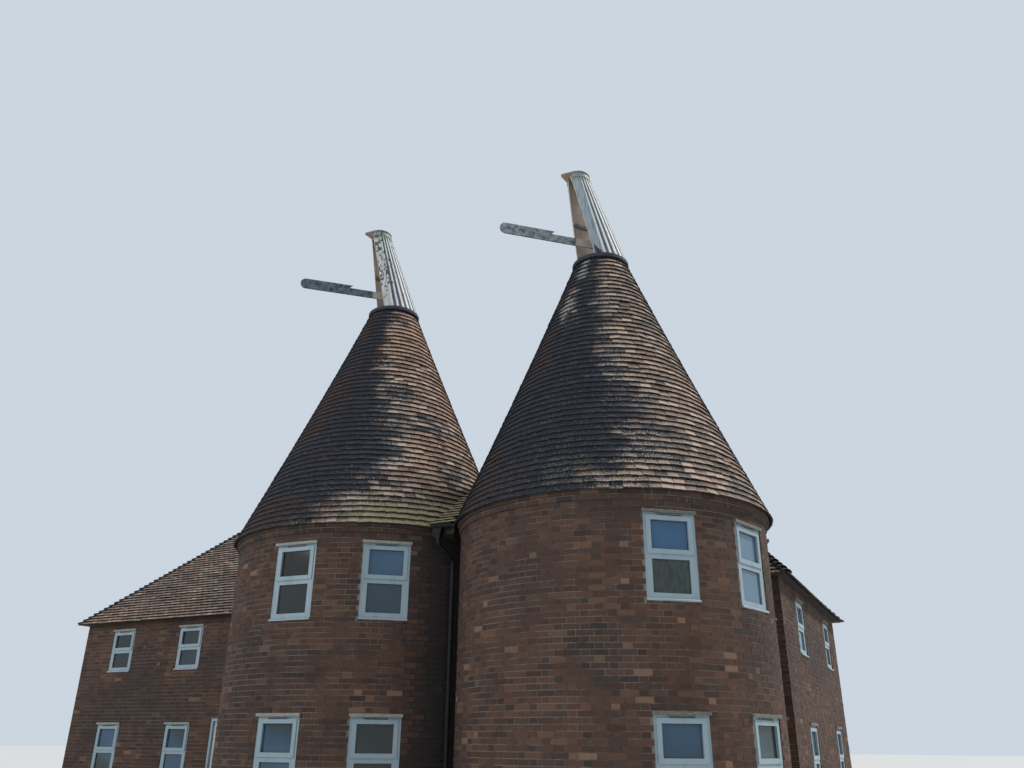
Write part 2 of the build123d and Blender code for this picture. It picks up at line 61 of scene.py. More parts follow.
# Tiles
TILE_GAUGE = 0.1018
TILE_WIDTH = 0.165
TILE_LENGTH = 0.168
TILE_THICKNESS = 0.015
TILE_TAIL_LIFT = 0.033
TILE_HEAD_LIFT = 0.001
TILE_CAMBER = 0.003
TILE_GAP = 0.002
CONE_TAIL_OVERHANG = 0.018
SLOPE_TAIL_OVERHANG = 0.020
NARROWEST_TILE = 0.02
MISSING_TILE_AZIMUTH = 11.0
ROOF_BELL_SAG = 0.028
BOARDING_THICKNESS = 0.02
STOWAGE_PITCH = 46.0
INFILL_PITCH = 37.0
INFILL_SIDE_PITCH = 40.0
COVER_TILE_THICKNESS = 0.014
RIDGE_TILE_LENGTH = 0.32
RIDGE_TILE_RADIUS = 0.115
BONNET_LENGTH = TILE_LENGTH * 0.62
BONNET_RADII = (0.10, 0.085)

# Windows
FRAME_FACE_FROM_PANE = 0.036
HEAD_ABOVE_PANE = 0.130
GASKET_FACE = 0.007
GASKET_PROUD = 0.0035
DRIP_HEIGHT = 0.038
DRIP_PROJECTION = 0.042
DRIP_BACK = 0.0105
DRIP_LAP = 0.114
VENT_PROUD = 0.020
VENT_SLOT = (0.330, 0.013)
SKIN = 0.0012
PANE_REACH = 0.29

# Cowls
COWL_AZIMUTH = -46.0
COWL_FORWARD = (sin(radians(COWL_AZIMUTH)), -cos(radians(COWL_AZIMUTH)))
COWL_BASE_RADIUS = 0.450
COWL_TOP_RADIUS = 0.190
COWL_LEAN = 0.380
COWL_BOARD = 0.022
COWL_SIDES = 28
COWL_RIBS = 17
HOOP_BAND = (0.875, 0.945)
BEAK_START = 0.06

# Painted reflections on the kilns' panes: side, azimuth, height and colour
LEAF_REFLECTING_PANE = ("right", 39.6, 3.6)
PANE_REFLECTIONS = (
    ("right", 39.6, 4.2, (0.032, 0.110, 0.215)), (*LEAF_REFLECTING_PANE, (0.044, 0.064, 0.050)),
    ("right", 75.0, 4.2, (0.120, 0.200, 0.280)), ("right", 75.0, 3.6, (0.120, 0.200, 0.280)),
    ("left", 3.8, 4.2, (0.014, 0.012, 0.011)), ("left", 3.8, 3.6, (0.020, 0.024, 0.024)),
    ("left", 39.6, 4.2, (0.045, 0.110, 0.190)), ("left", 39.6, 3.6, (0.030, 0.060, 0.080)))


# Sizes read from the frame

def node_points(name):
    """All vertices of a CAD node as an array."""
    mesh = nodes[name].data
    points = np.empty(len(mesh.vertices) * 3)
    mesh.vertices.foreach_get("co", points)
    return points.reshape(-1, 3)


def solids_of(name):
    """The vertices of each separate solid in a CAD node."""
    points = node_points(name)
    first = {}
    parent = [first.setdefault(tuple(np.round(p, 5)), i) for i, p in enumerate(points)]

    def root(i):
        while parent[i] != i:
            parent[i] = parent[parent[i]]
            i = parent[i]
        return i

    for polygon in nodes[name].data.polygons:
        for corner in polygon.vertices[1:]:
            parent[root(corner)] = root(polygon.vertices[0])
    groups = {}
    for i in range(len(points)):
        groups.setdefault(root(i), []).append(i)
    return [points[group] for group in groups.values()]


class Kiln:
    """The measures of one kiln, read from its nodes."""

    def __init__(self, side):
        low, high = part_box(f"{side}_kiln_kerb")
        self.side = side
        self.x = (low.x + high.x) / 2
        self.y = (low.y + high.y) / 2
        low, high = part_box(f"{side}_kiln_wall_front")
        self.wall_radius = self.y - low.y
        self.wall_top = high.z
        low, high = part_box(f"{side}_kiln_roof")
        self.eaves_radius = self.y - low.y
        self.eaves = low.z
        self.top = high.z
        roof = node_points(f"{side}_kiln_roof")
        self.top_radius = self.reach(roof[roof[:, 2] > self.top - 1e-4]).max()
        self.corbel_radius = self.reach(node_points(f"{side}_kiln_corbel")).max()
        self.slope_length = hypot(self.eaves_radius - self.top_radius, self.top - self.eaves)
        self.pitch = atan2(self.top - self.eaves, self.eaves_radius - self.top_radius)

    def reach(self, points):
        """How far points lie from the axis."""
        return np.hypot(points[:, 0] - self.x, points[:, 1] - self.y)

    def azimuth(self, points):
        """The azimuth of points about the axis."""
        return np.degrees(np.arctan2(points[:, 0] - self.x, -(points[:, 1] - self.y)))

    def spot(self, turn, reach, height):
        """The points at a turn in radians, a distance from the axis and a height."""
        return np.stack(np.broadcast_arrays(
            self.x + reach * np.sin(turn), self.y - reach * np.cos(turn), height), axis=-1)

    def roof_radius(self, height):
        """The roof's outer radius at a height, with its slightly hollow slope."""
        share = np.clip((height - self.eaves) / (self.top - self.eaves), 0, 1)
        straight = self.eaves_radius + share * (self.top_radius - self.eaves_radius)
        return straight - 4 * ROOF_BELL_SAG * share * (1 - share)

    def covers(self, points, margin):
        """Whether points lie inside the kiln's outer faces."""
        radius = np.where(points[:, 2] < self.eaves, self.wall_radius, self.roof_radius(points[:, 2]))
        return (self.reach(points) < radius - margin) & (points[:, 2] < self.top)


kilns = {side: Kiln(side) for side in ("right", "left")}
right_kiln, left_kiln = kilns["right"], kilns["left"]
stowage_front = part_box("stowage_front_wall")[0].y
roof_low, roof_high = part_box("stowage_roof")
infill_low, infill_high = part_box("infill_roof")


# Noise and weather

def smooth(low, high, values):
    """A smooth step from 0 at low to 1 at high."""
    share = np.clip((values - low) / (high - low), 0, 1)
    return share * share * (3 - 2 * share)


def near(values, middle, outer, inner):
    """1 within inner of a middle, and 0 beyond outer."""
    return smooth(outer, inner, np.abs(values - middle))


def blotches(points, size, seed):
    """Smooth noise from 0 to 1 with blotches about as large as size."""
    cells = 32
    lattice = np.random.default_rng(seed).random((cells, cells, cells))
    scaled = points / size
    base = np.floor(scaled).astype(int)
    part = scaled - base
    part = part * part * (3 - 2 * part)
    total = np.zeros(len(points))
    for corner in product((0, 1), repeat=3):
        weight = np.prod(np.where(corner, part, 1 - part), axis=1)
        i, j, k = ((base + corner) % cells).T
        total += weight * lattice[i, j, k]
    return total


def patches(points, size, seed, low, high):
    """Blotches with clear ground between them: 0 where the noise is under low, 1 over high."""
    return smooth(low, high, blotches(points, size, seed))


def dashes(kiln, points, length, seed):
    """Noise from 0 to 1 in level dashes, one tile course high and about as long as length."""
    along = np.radians(kiln.azimuth(points)) * kiln.reach(points) / length
    return blotches(np.stack([along, points[:, 2] / TILE_GAUGE, np.zeros(len(points))], axis=1), 1.0, seed)


# Many small solids in one mesh

BOX_QUADS = [(0, 1, 2, 3), (7, 6, 5, 4), (0, 4, 5, 1), (1, 5, 6, 2), (2, 6, 7, 3), (3, 7, 4, 0)]


def grid_quads(rows, columns, round_columns=False):
    """The quads of a grid of points, rows running slowest and closed on themselves."""
    return [
        (row * columns + column, row * columns + (column + 1) % columns,
         (row + 1) % rows * columns + (column + 1) % columns, (row + 1) % rows * columns + column)
        for row in range(rows) for column in range(columns if round_columns else columns - 1)]


def sheet_quads(columns):
    """The quads of a thick sheet: four rows of points round its two faces, closed at both ends."""
    start = [row * columns for row in range(4)]
    end = [first + columns - 1 for first in reversed(start)]
    return grid_quads(4, columns) + [tuple(start), tuple(end)]


def box_between(origin, along, outward, spans):
    """The corners of boxes whose spans (n, 6) are along, outward and up from an origin."""
    a0, a1, b0, b1, c0, c1 = (spans[:, i, None] for i in range(6))
    up = np.array([0, 0, 1.0])
    return np.stack([
        origin + a * along + b * outward + c * up
        for b in (b1, b0) for a, c in ((a0, c0), (a1, c0), (a1, c1), (a0, c1))], axis=1)


def sides_of(x0, y0, x1, y1, z):
    """The sides of a building: each one's name, start, ways along it and outward, and length."""
    for name, start, (x, y), length in (
            ("front", (x0, y0), (1, 0), x1 - x0), ("back", (x1, y1), (-1, 0), x1 - x0),
            ("left", (x0, y1), (0, -1), y1 - y0), ("right", (x1, y0), (0, 1), y1 - y0)):
        yield name, np.array([*start, z]), np.array([x, y, 0.0]), np.array([y, -x, 0.0]), length


def new_object(name, data):
    """A new object in the scene."""
    made = bpy.data.objects.new(name, data)
    bpy.context.scene.collection.objects.link(made)
    return made


class Solids:
    """Gathers small closed solids into one mesh, with named numbers kept on their points."""

    def __init__(self):
        self.points = []
        self.faces = []
        self.traits = {}
        self.count = 0

    def add(self, points, quads, **traits):
        """Adds points (solids, corners, 3), one solid's quads, and traits for each solid or corner."""
        solids, corners, _ = points.shape
        first = self.count + np.arange(solids) * corners
        self.points.append(points.reshape(-1, 3))
        self.faces.append((np.array(quads)[None] + first[:, None, None]).reshape(-1, 4))
        for name, values in traits.items():
            values = np.asarray(values, float)
            spread = np.repeat(values, corners) if values.ndim == 1 else values.reshape(-1)
            self.traits.setdefault(name, []).append(spread)
        self.count += solids * corners

    def add_boxes(self, place, *spans):
        """Adds boxes by their spans along, outward and up from a place (origin, along, outward)."""
        self.add(box_between(*place, np.array(spans)), BOX_QUADS)

    def build(self, name, material, body="building", slot=None, smooth_faces=False):
        """Makes the object and lets it ride on its body."""
        mesh = bpy.data.meshes.new(name)
        mesh.from_pydata(np.concatenate(self.points).tolist(), [], np.concatenate(self.faces).tolist())
        for trait, values in self.traits.items():
            attribute = mesh.attributes.new(trait, "FLOAT", "POINT")
            attribute.data.foreach_set("value", np.concatenate(values).astype(np.float32))
        mesh.validate()
        mesh.materials.append(material)
        mesh.polygons.foreach_set("use_smooth", [smooth_faces] * len(mesh.polygons))
        piece = new_object(name, mesh)
        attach(piece, body)
        return piece


# Materials

def new_node(tree, kind, inputs=None, **settings):
    """Adds a node with its settings, and sets or links its inputs."""
    made = tree.nodes.new(kind)
    for key, value in settings.items():
        setattr(made, key, value)
    for key, value in (inputs or {}).items():
        feed(made.inputs[key], value)
    return made


def feed(socket, value):
    """Sets a socket to a number, vector or colour, or links it to an output."""
    if isinstance(value, Wire):
        value = value.socket
    if isinstance(value, bpy.types.NodeSocket):
        socket.id_data.links.new(value, socket)
    else:
        socket.default_value = (*value, 1.0) if socket.type == "RGBA" else value


class Wire:
    """A number that runs through a material's nodes and can be counted with."""

    def __init__(self, graph, socket):
        self.graph = graph
        self.socket = socket

    def __add__(self, other):
        return self.graph.math("ADD", self, other)

    def __sub__(self, other):
        return self.graph.math("SUBTRACT", self, other)

    def __mul__(self, other):
        return self.graph.math("MULTIPLY", self, other)

    def __truediv__(self, other):
        return self.graph.math("DIVIDE", self, other)

    def __abs__(self):
        return self.graph.math("ABSOLUTE", self)


class Graph:
    """Short ways to write a material's nodes."""

    def __init__(self, name, roughness, specular=None):
        self.material = bpy.data.materials.new(name)
        self.material.use_nodes = True
        self.tree = self.material.node_tree
        self.shader = self.tree.nodes["Principled BSDF"]
        self.shader.inputs["Roughness"].default_value = roughness
        if specular is not None:
            self.shader.inputs["Specular IOR Level"].default_value = specular
        self.place = self.node("ShaderNodeTexCoord").outputs["Object"]

    def node(self, kind, inputs=None, **settings):
        return new_node(self.tree, kind, inputs, **settings)

    def trait(self, name):
        return Wire(self, self.node("ShaderNodeAttribute", attribute_name=name).outputs["Fac"])

    def noise(self, scale, detail=3.0, rough=0.6, stretch=None):
        """Noise from 0 to 1 on the object, stretched by scales along x, y and z."""
        place = self.place
        if stretch:
            place = self.node("ShaderNodeMapping", {"Vector": place, "Scale": stretch}).outputs["Vector"]
        made = self.node(
            "ShaderNodeTexNoise", {"Vector": place, "Scale": scale, "Detail": detail, "Roughness": rough})
        return Wire(self, made.outputs["Fac"])

    def axes(self, vector):
        """The x, y and z of a vector."""
        return [Wire(self, output) for output in self.node("ShaderNodeSeparateXYZ", {0: vector}).outputs]

    def facing_down(self):
        """From 0 to 1 where a face looks down."""
        normal = self.node("ShaderNodeNewGeometry").outputs["True Normal"]
        return self.span(self.axes(normal)[2] * -1.0, 0.25, 0.6)

    def within(self, spot, reach):
        """1 inside a cube round a spot and 0 outside."""
        x, y, z = (abs(axis - middle) for axis, middle in zip(self.axes(self.place), spot))
        return self.math("LESS_THAN", self.math("MAXIMUM", self.math("MAXIMUM", x, y), z), reach)

    def math(self, operation, a, b=0.0):
        return Wire(self, self.node("ShaderNodeMath", {0: a, 1: b}, operation=operation).outputs[0])

    def span(self, value, low, high, at_low=0.0, at_high=1.0):
        """A smooth step from at_low to at_high while the value goes from low to high."""
        made = self.node(
            "ShaderNodeMapRange", {"Value": value, "From Min": low, "From Max": high, "To Min": at_low,
                                   "To Max": at_high}, clamp=True, interpolation_type="SMOOTHSTEP")
        return Wire(self, made.outputs["Result"])

    def ramp(self, value, *stops):
        made = self.node("ShaderNodeValToRGB", {"Fac": value})
        elements = made.color_ramp.elements
        while len(elements) < len(stops):
            elements.new(0.5)
        for element, (place, colour) in zip(elements, stops):
            element.position = place
            element.color = (*colour, 1.0)
        return made.outputs["Color"]

    def mix(self, share, below, above, blend="MIX"):
        sockets = {"Factor": share, "A": below, "B": above}
        return self.node("ShaderNodeMix", sockets, data_type="RGBA", blend_type=blend).outputs["Result"]

    def cover(self, below, above, value, low, high, at_high=1.0, at_low=0.0, blend="MIX"):
        """Lays one colour over another by a smooth step of a value."""
        return self.mix(self.span(value, low, high, at_low, at_high), below, above, blend)

    def dim(self, colour, factor, value, low, high, at_high=1.0, at_low=0.0):
        """Multiplies a colour by a factor, by a smooth step of a value."""
        return self.cover(colour, factor, value, low, high, at_high, at_low, "MULTIPLY")

    def bump(self, height, strength=0.5, distance=0.004):
        made = self.node("ShaderNodeBump", {"Strength": strength, "Distance": distance, "Height": height})
        feed(self.shader.inputs["Normal"], made.outputs["Normal"])

    def finish(self, colour, roughness=None):
        feed(self.shader.inputs["Base Color"], colour)
        if roughness is not None:
            feed(self.shader.inputs["Roughness"], roughness)
        return self.material


def tile_material():
    """Old plain clay tiles: brown to orange, blackened, with lichen and moss by their traits, and with
    painted light and shade: a highlight on each tail, a shadow under it, dark undersides, and shade on each
    cone's dark side.
    """
    g = Graph("clay_tiles", 0.92, 0.2)
    fine = g.noise(95.0, 4.0, 0.65)
    broad = g.noise(7.0, 3.0, 0.6)
    edge, soot, warm = (g.trait(name) for name in ("edge", "soot", "warm"))
    rough_edge = edge + (g.noise(40.0) - 0.5) * 0.30
    clay = g.ramp(
        g.trait("tone"),
        (0.0, (0.064, 0.052, 0.048)), (0.3, (0.138, 0.104, 0.088)), (0.6, (0.245, 0.174, 0.140)),
        (0.85, (0.362, 0.264, 0.208)), (1.0, (0.495, 0.382, 0.312)))
    clay = g.mix(warm * 0.70, clay, (0.400, 0.215, 0.138))
    clay = g.dim(clay, (0.58, 0.56, 0.56), fine, 0.35, 0.75)
    clay = g.cover(clay, (0.180, 0.152, 0.130), broad, 0.45, 0.70, 0.35)
    # A painted highlight along each tile's tail, with a little wear.
    clay = g.cover(clay, (0.480, 0.395, 0.325), rough_edge, 0.84, 0.98, 0.42)
    # Painted shadow under the tail above, near the top of each tile's bare part.
    clay = g.dim(clay, (0.11, 0.13, 0.17), rough_edge, 0.52, 0.72, 0.0, 0.96)
    # Darker along each tile's sides: painted shade in the joints between tiles.
    clay = g.dim(clay, (0.30, 0.29, 0.30), g.trait("side"), 0.90, 0.97, 0.75)
    # Blackening of the tiles: a dark blue-grey that is partly sooty weathering and partly painted shade.
    black = g.ramp(fine, (0.3, (0.012, 0.017, 0.027)), (0.75, (0.022, 0.027, 0.038)))
    black = g.cover(black, (0.036, 0.023, 0.021), warm, 0.2, 0.9, 0.85)
    # Near the border, lit tail edges show through the blackening: a painted highlight.
    clay = g.cover(clay, black, soot * 1.5 + ((fine - 0.5) * 0.9 - edge * 0.45), -0.05, 0.75, 0.95)
    moss_edge = g.trait("moss") + (g.noise(35.0) - 0.5) * 1.1
    # Moss is kept off that painted shadow.
    mossy = g.span(moss_edge, 0.35, 0.8, 0.0, 0.82) * g.span(rough_edge, 0.52, 0.70, 0.15, 1.0)
    clay = g.mix(mossy, clay, g.ramp(fine, (0.3, (0.172, 0.154, 0.074)), (0.7, (0.500, 0.445, 0.255))))
    # Lichen, with more pale spots towards each tail: partly a painted highlight on the tails.
    spots = g.noise(58.0, 2.0, 0.55) + g.trait("lichen") * g.span(edge, 0.45, 1.0, 0.16, 0.34)
    pale = g.ramp(broad, (0.35, (0.345, 0.370, 0.335)), (0.65, (0.520, 0.485, 0.425)))
    clay = g.cover(clay, pale, spots, 0.67, 0.75, 0.85)
    # Faces that look down are painted dark as shade; on the blackened side they are painted lighter, to
    # soften the shade lines between courses there.
    down = g.facing_down()
    clay = g.mix(down * g.span(soot, 0.0, 1.0, 0.90, 0.0), clay, (0.010, 0.009, 0.010))
    clay = g.mix(down * g.span(soot, 0.4, 1.0, 0.0, 0.8), clay, (0.040, 0.040, 0.050))
    g.bump(fine + broad * 0.6, 0.55, 0.006)
    return g.finish(clay, g.span(fine, 0.2, 0.8, 0.84, 0.98))


def brick_material():
    """Red-brown stock bricks, some of them burnt blue-grey."""
    g = Graph("brick_faces", 0.9, 0.25)
    fine = g.noise(110.0, 4.0, 0.7)
    clay = g.ramp(
        g.trait("tone"),
        (0.0, (0.048, 0.030, 0.024)), (0.4, (0.083, 0.046, 0.034)), (0.75, (0.114, 0.061, 0.041)),
        (0.93, (0.148, 0.082, 0.053)), (1.0, (0.215, 0.133, 0.086)))
    clay = g.cover(clay, (0.048, 0.033, 0.029), fine, 0.35, 0.8, 0.55)
    burnt = g.ramp(fine, (0.3, (0.030, 0.027, 0.030)), (0.7, (0.054, 0.046, 0.046)))
    clay = g.mix(g.trait("burnt") * 0.9, clay, burnt)
    clay = g.cover(clay, (0.125, 0.098, 0.078), g.noise(14.0, 2.0, 0.5), 0.5, 0.8, 0.25)
    # Stains, and on the kilns painted shade under the eaves and in the recess between them.
    clay = g.mix(g.trait("stain") * 0.85, clay, (0.028, 0.028, 0.030))
    g.bump(fine)
    return g.finish(clay, g.span(fine, 0.2, 0.8, 0.84, 0.97))


def mortar_material():
    """Lime mortar, weathered to a warm grey, with painted shade in the recess between the kilns."""
    g = Graph("lime_mortar", 0.95, 0.25)
    fine = g.noise(160.0, 4.0, 0.7)
    colour = g.ramp(fine, (0.25, (0.115, 0.098, 0.080)), (0.75, (0.235, 0.205, 0.170)))
    colour = g.cover(colour, (0.066, 0.052, 0.044), g.noise(2.6), 0.44, 0.60, 0.80)
    # Painted shade near the middle, in the recess between the kilns.
    colour = g.cover(colour, (0.022, 0.022, 0.024), abs(g.axes(g.place)[0]), 0.30, 0.80, 0.0, 0.9)
    g.bump(fine, 0.6, 0.003)
    return g.finish(colour)


def kerb_material():
    """Lead and mortar round the head of the roof, nearly black."""
    g = Graph("dark_kerb", 0.75, 0.3)
    fine = g.noise(45.0, 4.0, 0.65)
    colour = g.ramp(fine, (0.3, (0.018, 0.023, 0.033)), (0.75, (0.050, 0.060, 0.080)))
    streaks = g.noise(9.0, stretch=(3.0, 3.0, 0.7))
    colour = g.cover(colour, (0.070, 0.074, 0.080), streaks, 0.5, 0.72, 0.30)
    g.bump(fine, 0.5, 0.006)
    return g.finish(colour)


def grained_material(name, roughness, dark, light, noise, bump, stretch=None):
    """A material whose one noise gives both its colour, from dark to light, and its relief."""
    g = Graph(name, roughness)
    grain = g.noise(*noise, stretch=stretch)
    g.bump(grain, *bump)
    return g.finish(g.ramp(grain, dark, light))


def timber_material(name, dark, light):
    """Sawn timber with its grain along the vertical."""
    return grained_material(
        name, 0.85, (0.3, dark), (0.7, light), (14.0, 4.0, 0.6), (0.4, 0.003), (6.0, 6.0, 0.5))


def frame_material():
    """White plastic window frames with a little grime, written dark blue-grey as painted shade."""
    g = Graph("window_white", 0.35)
    grime = g.noise(6.0, 4.0, 0.65, (1.0, 1.0, 0.35))
    g.bump(g.noise(240.0), 0.08, 0.001)
    # White written as a dark blue-grey: painted shade.
    colour = g.cover((0.270, 0.360, 0.410), (0.180, 0.235, 0.250), grime, 0.46, 0.75, 0.45)
    return g.finish(colour, g.span(grime, 0.3, 0.7, 0.3, 0.5))


def drip_material():
    """Cream paint on the boards over the windows, gone green on the right kiln and its side."""
    g = Graph("drip_boards", 0.8)
    streaks = g.noise(20.0, 4.0, 0.65, (1.0, 1.0, 4.0))
    g.bump(streaks, 0.4, 0.003)
    green = g.ramp(
        streaks, (0.3, (0.070, 0.080, 0.058)), (0.55, (0.150, 0.156, 0.120)), (0.75, (0.270, 0.275, 0.225)))
    cream = g.ramp(streaks, (0.3, (0.170, 0.180, 0.160)), (0.7, (0.360, 0.365, 0.325)))
    return g.finish(g.mix(g.math("LESS_THAN", g.axes(g.place)[0], 0.0), green, cream))


def pane_spot(side, azimuth, height):
    """The middle of the pane of a kiln's glass nearest an azimuth and a height."""
    middles = np.array([(solid.min(0) + solid.max(0)) / 2 for solid in solids_of(f"{side}_kiln_glass")])
    miss = np.abs(kilns[side].azimuth(middles) - azimuth) / 10 + np.abs(middles[:, 2] - height)
    return tuple(middles[miss.argmin()])


def glass_material():
    """Panes over dim rooms, with painted reflections: some blue with the sky, some dark with what stands
    opposite, one with foliage, all dimmed in broad patches.
    """
    g = Graph("window_panes", 0.06)
    g.shader.inputs["IOR"].default_value = 1.52
    reflection = g.ramp(
        g.noise(0.55, 1.0, 0.5), (0.38, (0.018, 0.024, 0.023)), (0.48, (0.030, 0.046, 0.046)),
        (0.54, (0.030, 0.074, 0.125)), (0.66, (0.050, 0.110, 0.180)))
    for side, azimuth, height, colour in PANE_REFLECTIONS:
        reflection = g.mix(g.within(pane_spot(side, azimuth, height), PANE_REACH), reflection, colour)
    # A painted reflection of foliage on one pane.
    leaf_reflection = g.span(g.noise(24.0, stretch=(1.0, 1.0, 0.35)), 0.34, 0.68, 0.0, 0.70)
    reflection = g.mix(leaf_reflection * g.within(pane_spot(*LEAF_REFLECTING_PANE), PANE_REACH), reflection, (0.012, 0.016, 0.015))
    return g.finish(g.dim(reflection, (0.55, 0.62, 0.68), g.noise(2.2, 2.0, 0.5), 0.35, 0.7, 0.45))


def plastic_material():
    """Black plastic gutter and pipe."""
    g = Graph("black_plastic", 0.6, 0.25)
    g.bump(g.noise(120.0), 0.1, 0.001)
    dust = g.noise(12.0, 4.0, 0.65)
    return g.finish(g.ramp(dust, (0.4, (0.004, 0.005, 0.007)), (0.8, (0.014, 0.016, 0.019))))


def cowl_material(kiln):
    """The hood's paint: bright ribs with painted shade in the gaps between them, bare boards inside, partly
    painted bounce light, green under the cap.

    The left hood's paint is also peeling in spots.
    """
    peeling = kiln.side == "left"
    g = Graph(f"{kiln.side}_cowl_paint", 0.6)
    low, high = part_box(f"{kiln.side}_cowl_hood")
    x, y, z = g.axes(g.place)
    share = (z - low.z) / (high.z - low.z)
    ahead, aside = COWL_FORWARD
    east = x - kiln.x - share * (ahead * COWL_LEAN)
    north = y - kiln.y - share * (aside * COWL_LEAN)
    along = (east * ahead + north * aside) * -1.0
    across = east * aside - north * ahead
    reach = g.math("SQRT", along * along + across * across)
    surface = share * (COWL_TOP_RADIUS - COWL_BASE_RADIUS) + COWL_BASE_RADIUS
    phase = g.math("ARCTAN2", across, along) / (2 * pi / COWL_SIDES)
    off_rib = abs(phase - g.math("ROUND", phase))
    last_rib = (COWL_RIBS - 1) / 2
    ribbed = g.span(abs(phase), last_rib + 0.15, last_rib + 0.35, 1.0, 0.0)
    streaks = g.noise(16.0, 4.0, 0.6, (2.2, 2.2, 0.16))
    fine = g.noise(150.0)
    # On the right hood the smooth board is written dark and bluish: painted shade on white paint.
    smooth_board = g.cover(*(
        ((0.560, 0.580, 0.560), (0.330, 0.350, 0.345)) if peeling
        else ((0.290, 0.350, 0.395), (0.115, 0.145, 0.165))), streaks, 0.35, 0.72)
    rib = g.cover((0.660, 0.710, 0.730), (0.290, 0.310, 0.310), streaks, 0.50, 0.75, 0.7)
    # Painted shade in the gaps between the ribs.
    gap = g.ramp(streaks, (0.3, (0.040, 0.048, 0.060)), (0.7, (0.140, 0.160, 0.180)))
    colour = g.mix(ribbed, smooth_board, g.cover(rib, gap, off_rib, 0.18, 0.26))
    colour = g.cover(colour, (0.300, 0.320, 0.310), fine, 0.5, 0.8, 0.3)
    green = g.ramp(fine, (0.35, (0.085, 0.110, 0.098)), (0.65, (0.300, 0.340, 0.310)))
    colour = g.cover(colour, green, share + (g.noise(30.0, 3.0, 0.7) - 0.5) * 0.10, 0.880, 0.93, 0.85)
    if peeling:
        speck = g.noise(21.0, 2.0, 0.55, (1.0, 1.0, 0.55))
        spots = g.span(speck - g.span(abs(phase), 5.0, 8.6, 0.66, 0.555), 0.0, 0.02)
        colour = g.mix(spots * g.span(share, 0.05, 0.2) * 0.95, colour, (0.026, 0.026, 0.030))
    # Bare boards inside, their light warm colour partly painted bounce light.
    boards = g.ramp(
        g.noise(9.0, 4.0, 0.6, (3.0, 3.0, 0.2)), (0.3, (0.540, 0.480, 0.425)), (0.7, (0.740, 0.670, 0.600)))
    # A darker band at the hoop's height: painted shade round the hoop.
    from_hoop = abs(z - (low.z + sum(HOOP_BAND) / 2))
    hoop = g.math("LESS_THAN", from_hoop, (HOOP_BAND[1] - HOOP_BAND[0]) / 2)
    boards = g.mix(hoop, boards, (0.45, 0.44, 0.43), "MULTIPLY")
    g.bump(streaks + fine, 0.35, 0.003)
    return g.finish(
        g.cover(colour, boards, surface - reach, COWL_BOARD * 0.5, COWL_BOARD * 0.7),
        g.span(fine, 0.3, 0.7, 0.5, 0.75))


def cap_material(kiln):
    """The cap: grey paint gone green above, bare orange wood under its beak, partly painted warm bounce
    light.
    """
    g = Graph(f"{kiln.side}_cowl_cap", 0.7)
    fine = g.noise(60.0, 4.0, 0.65)
    x, y, _ = g.axes(g.place)
    forward = (x - kiln.x) * COWL_FORWARD[0] + (y - kiln.y) * COWL_FORWARD[1]
    beak = g.math("GREATER_THAN", forward, COWL_LEAN + BEAK_START)
    above = g.ramp(fine, (0.3, (0.075, 0.090, 0.098)), (0.7, (0.240, 0.265, 0.270)))
    # Under the beak: bare wood with painted warm bounce light.
    under = g.ramp(fine, (0.3, (0.360, 0.250, 0.175)), (0.7, (0.540, 0.400, 0.295)))
    g.bump(fine, 0.4, 0.003)
    return g.finish(g.mix(g.facing_down() * beak, above, under))


def vane_material():
    """Grey weathered boards with lichen, painted darker and bluer on the left as shade, and bare wood where
    the hoods shelter them.
    """
    g = Graph("weathered_vane", 0.85)
    fine = g.noise(95.0, 4.0, 0.7)
    speck = g.noise(13.0)
    colour = g.ramp(
        speck, (0.34, (0.056, 0.072, 0.082)), (0.46, (0.165, 0.200, 0.222)),
        (0.60, (0.255, 0.295, 0.310)), (0.74, (0.400, 0.430, 0.430)))
    colour = g.cover(colour, (0.090, 0.115, 0.120), fine, 0.50, 0.80, 0.45)
    x, y, _ = g.axes(g.place)
    # The left vane painted darker and bluer: painted shade.
    colour = g.mix(g.math("LESS_THAN", x, 0.0), colour, (0.48, 0.55, 0.61), "MULTIPLY")
    wood = g.ramp(fine, (0.3, (0.370, 0.325, 0.285)), (0.7, (0.520, 0.465, 0.410)))
    for kiln in kilns.values():
        east, north = x - kiln.x, y - kiln.y
        colour = g.cover(colour, wood, g.math("SQRT", east * east + north * north), 0.42, 0.46, 0.0, 1.0)
    g.bump(fine + speck)
    return g.finish(colour)


def gasket_material():
    """Dark rubber round the panes; also the painted shade in the vents' slots."""
    g = Graph("pane_gaskets", 0.6)
    return g.finish(g.ramp(g.noise(60.0), (0.4, (0.020, 0.021, 0.023)), (0.7, (0.042, 0.042, 0.044))))


tiles_look = tile_material()
bricks_look = brick_material()
gasket_look = gasket_material()
drip_look = drip_material()
beam_look = timber_material("dark_beams", (0.060, 0.048, 0.040), (0.170, 0.135, 0.105))
frame_look = frame_material()
backing_look = grained_material(
    "roof_backing", 0.95, (0.3, (0.016, 0.014, 0.013)), (0.7, (0.040, 0.034, 0.030)), (30.0,), (0.3, 0.004))
floor_look = grained_material(
    "floor_screed", 0.9, (0.3, (0.190, 0.180, 0.165)), (0.7, (0.300, 0.290, 0.270)), (20.0, 4.0),
    (0.3, 0.003))
felt_look = grained_material(
    "torn_felt", 0.8, (0.4, (0.014, 0.015, 0.018)), (0.75, (0.075, 0.078, 0.085)), (70.0, 4.0, 0.7),
    (0.5, 0.004))

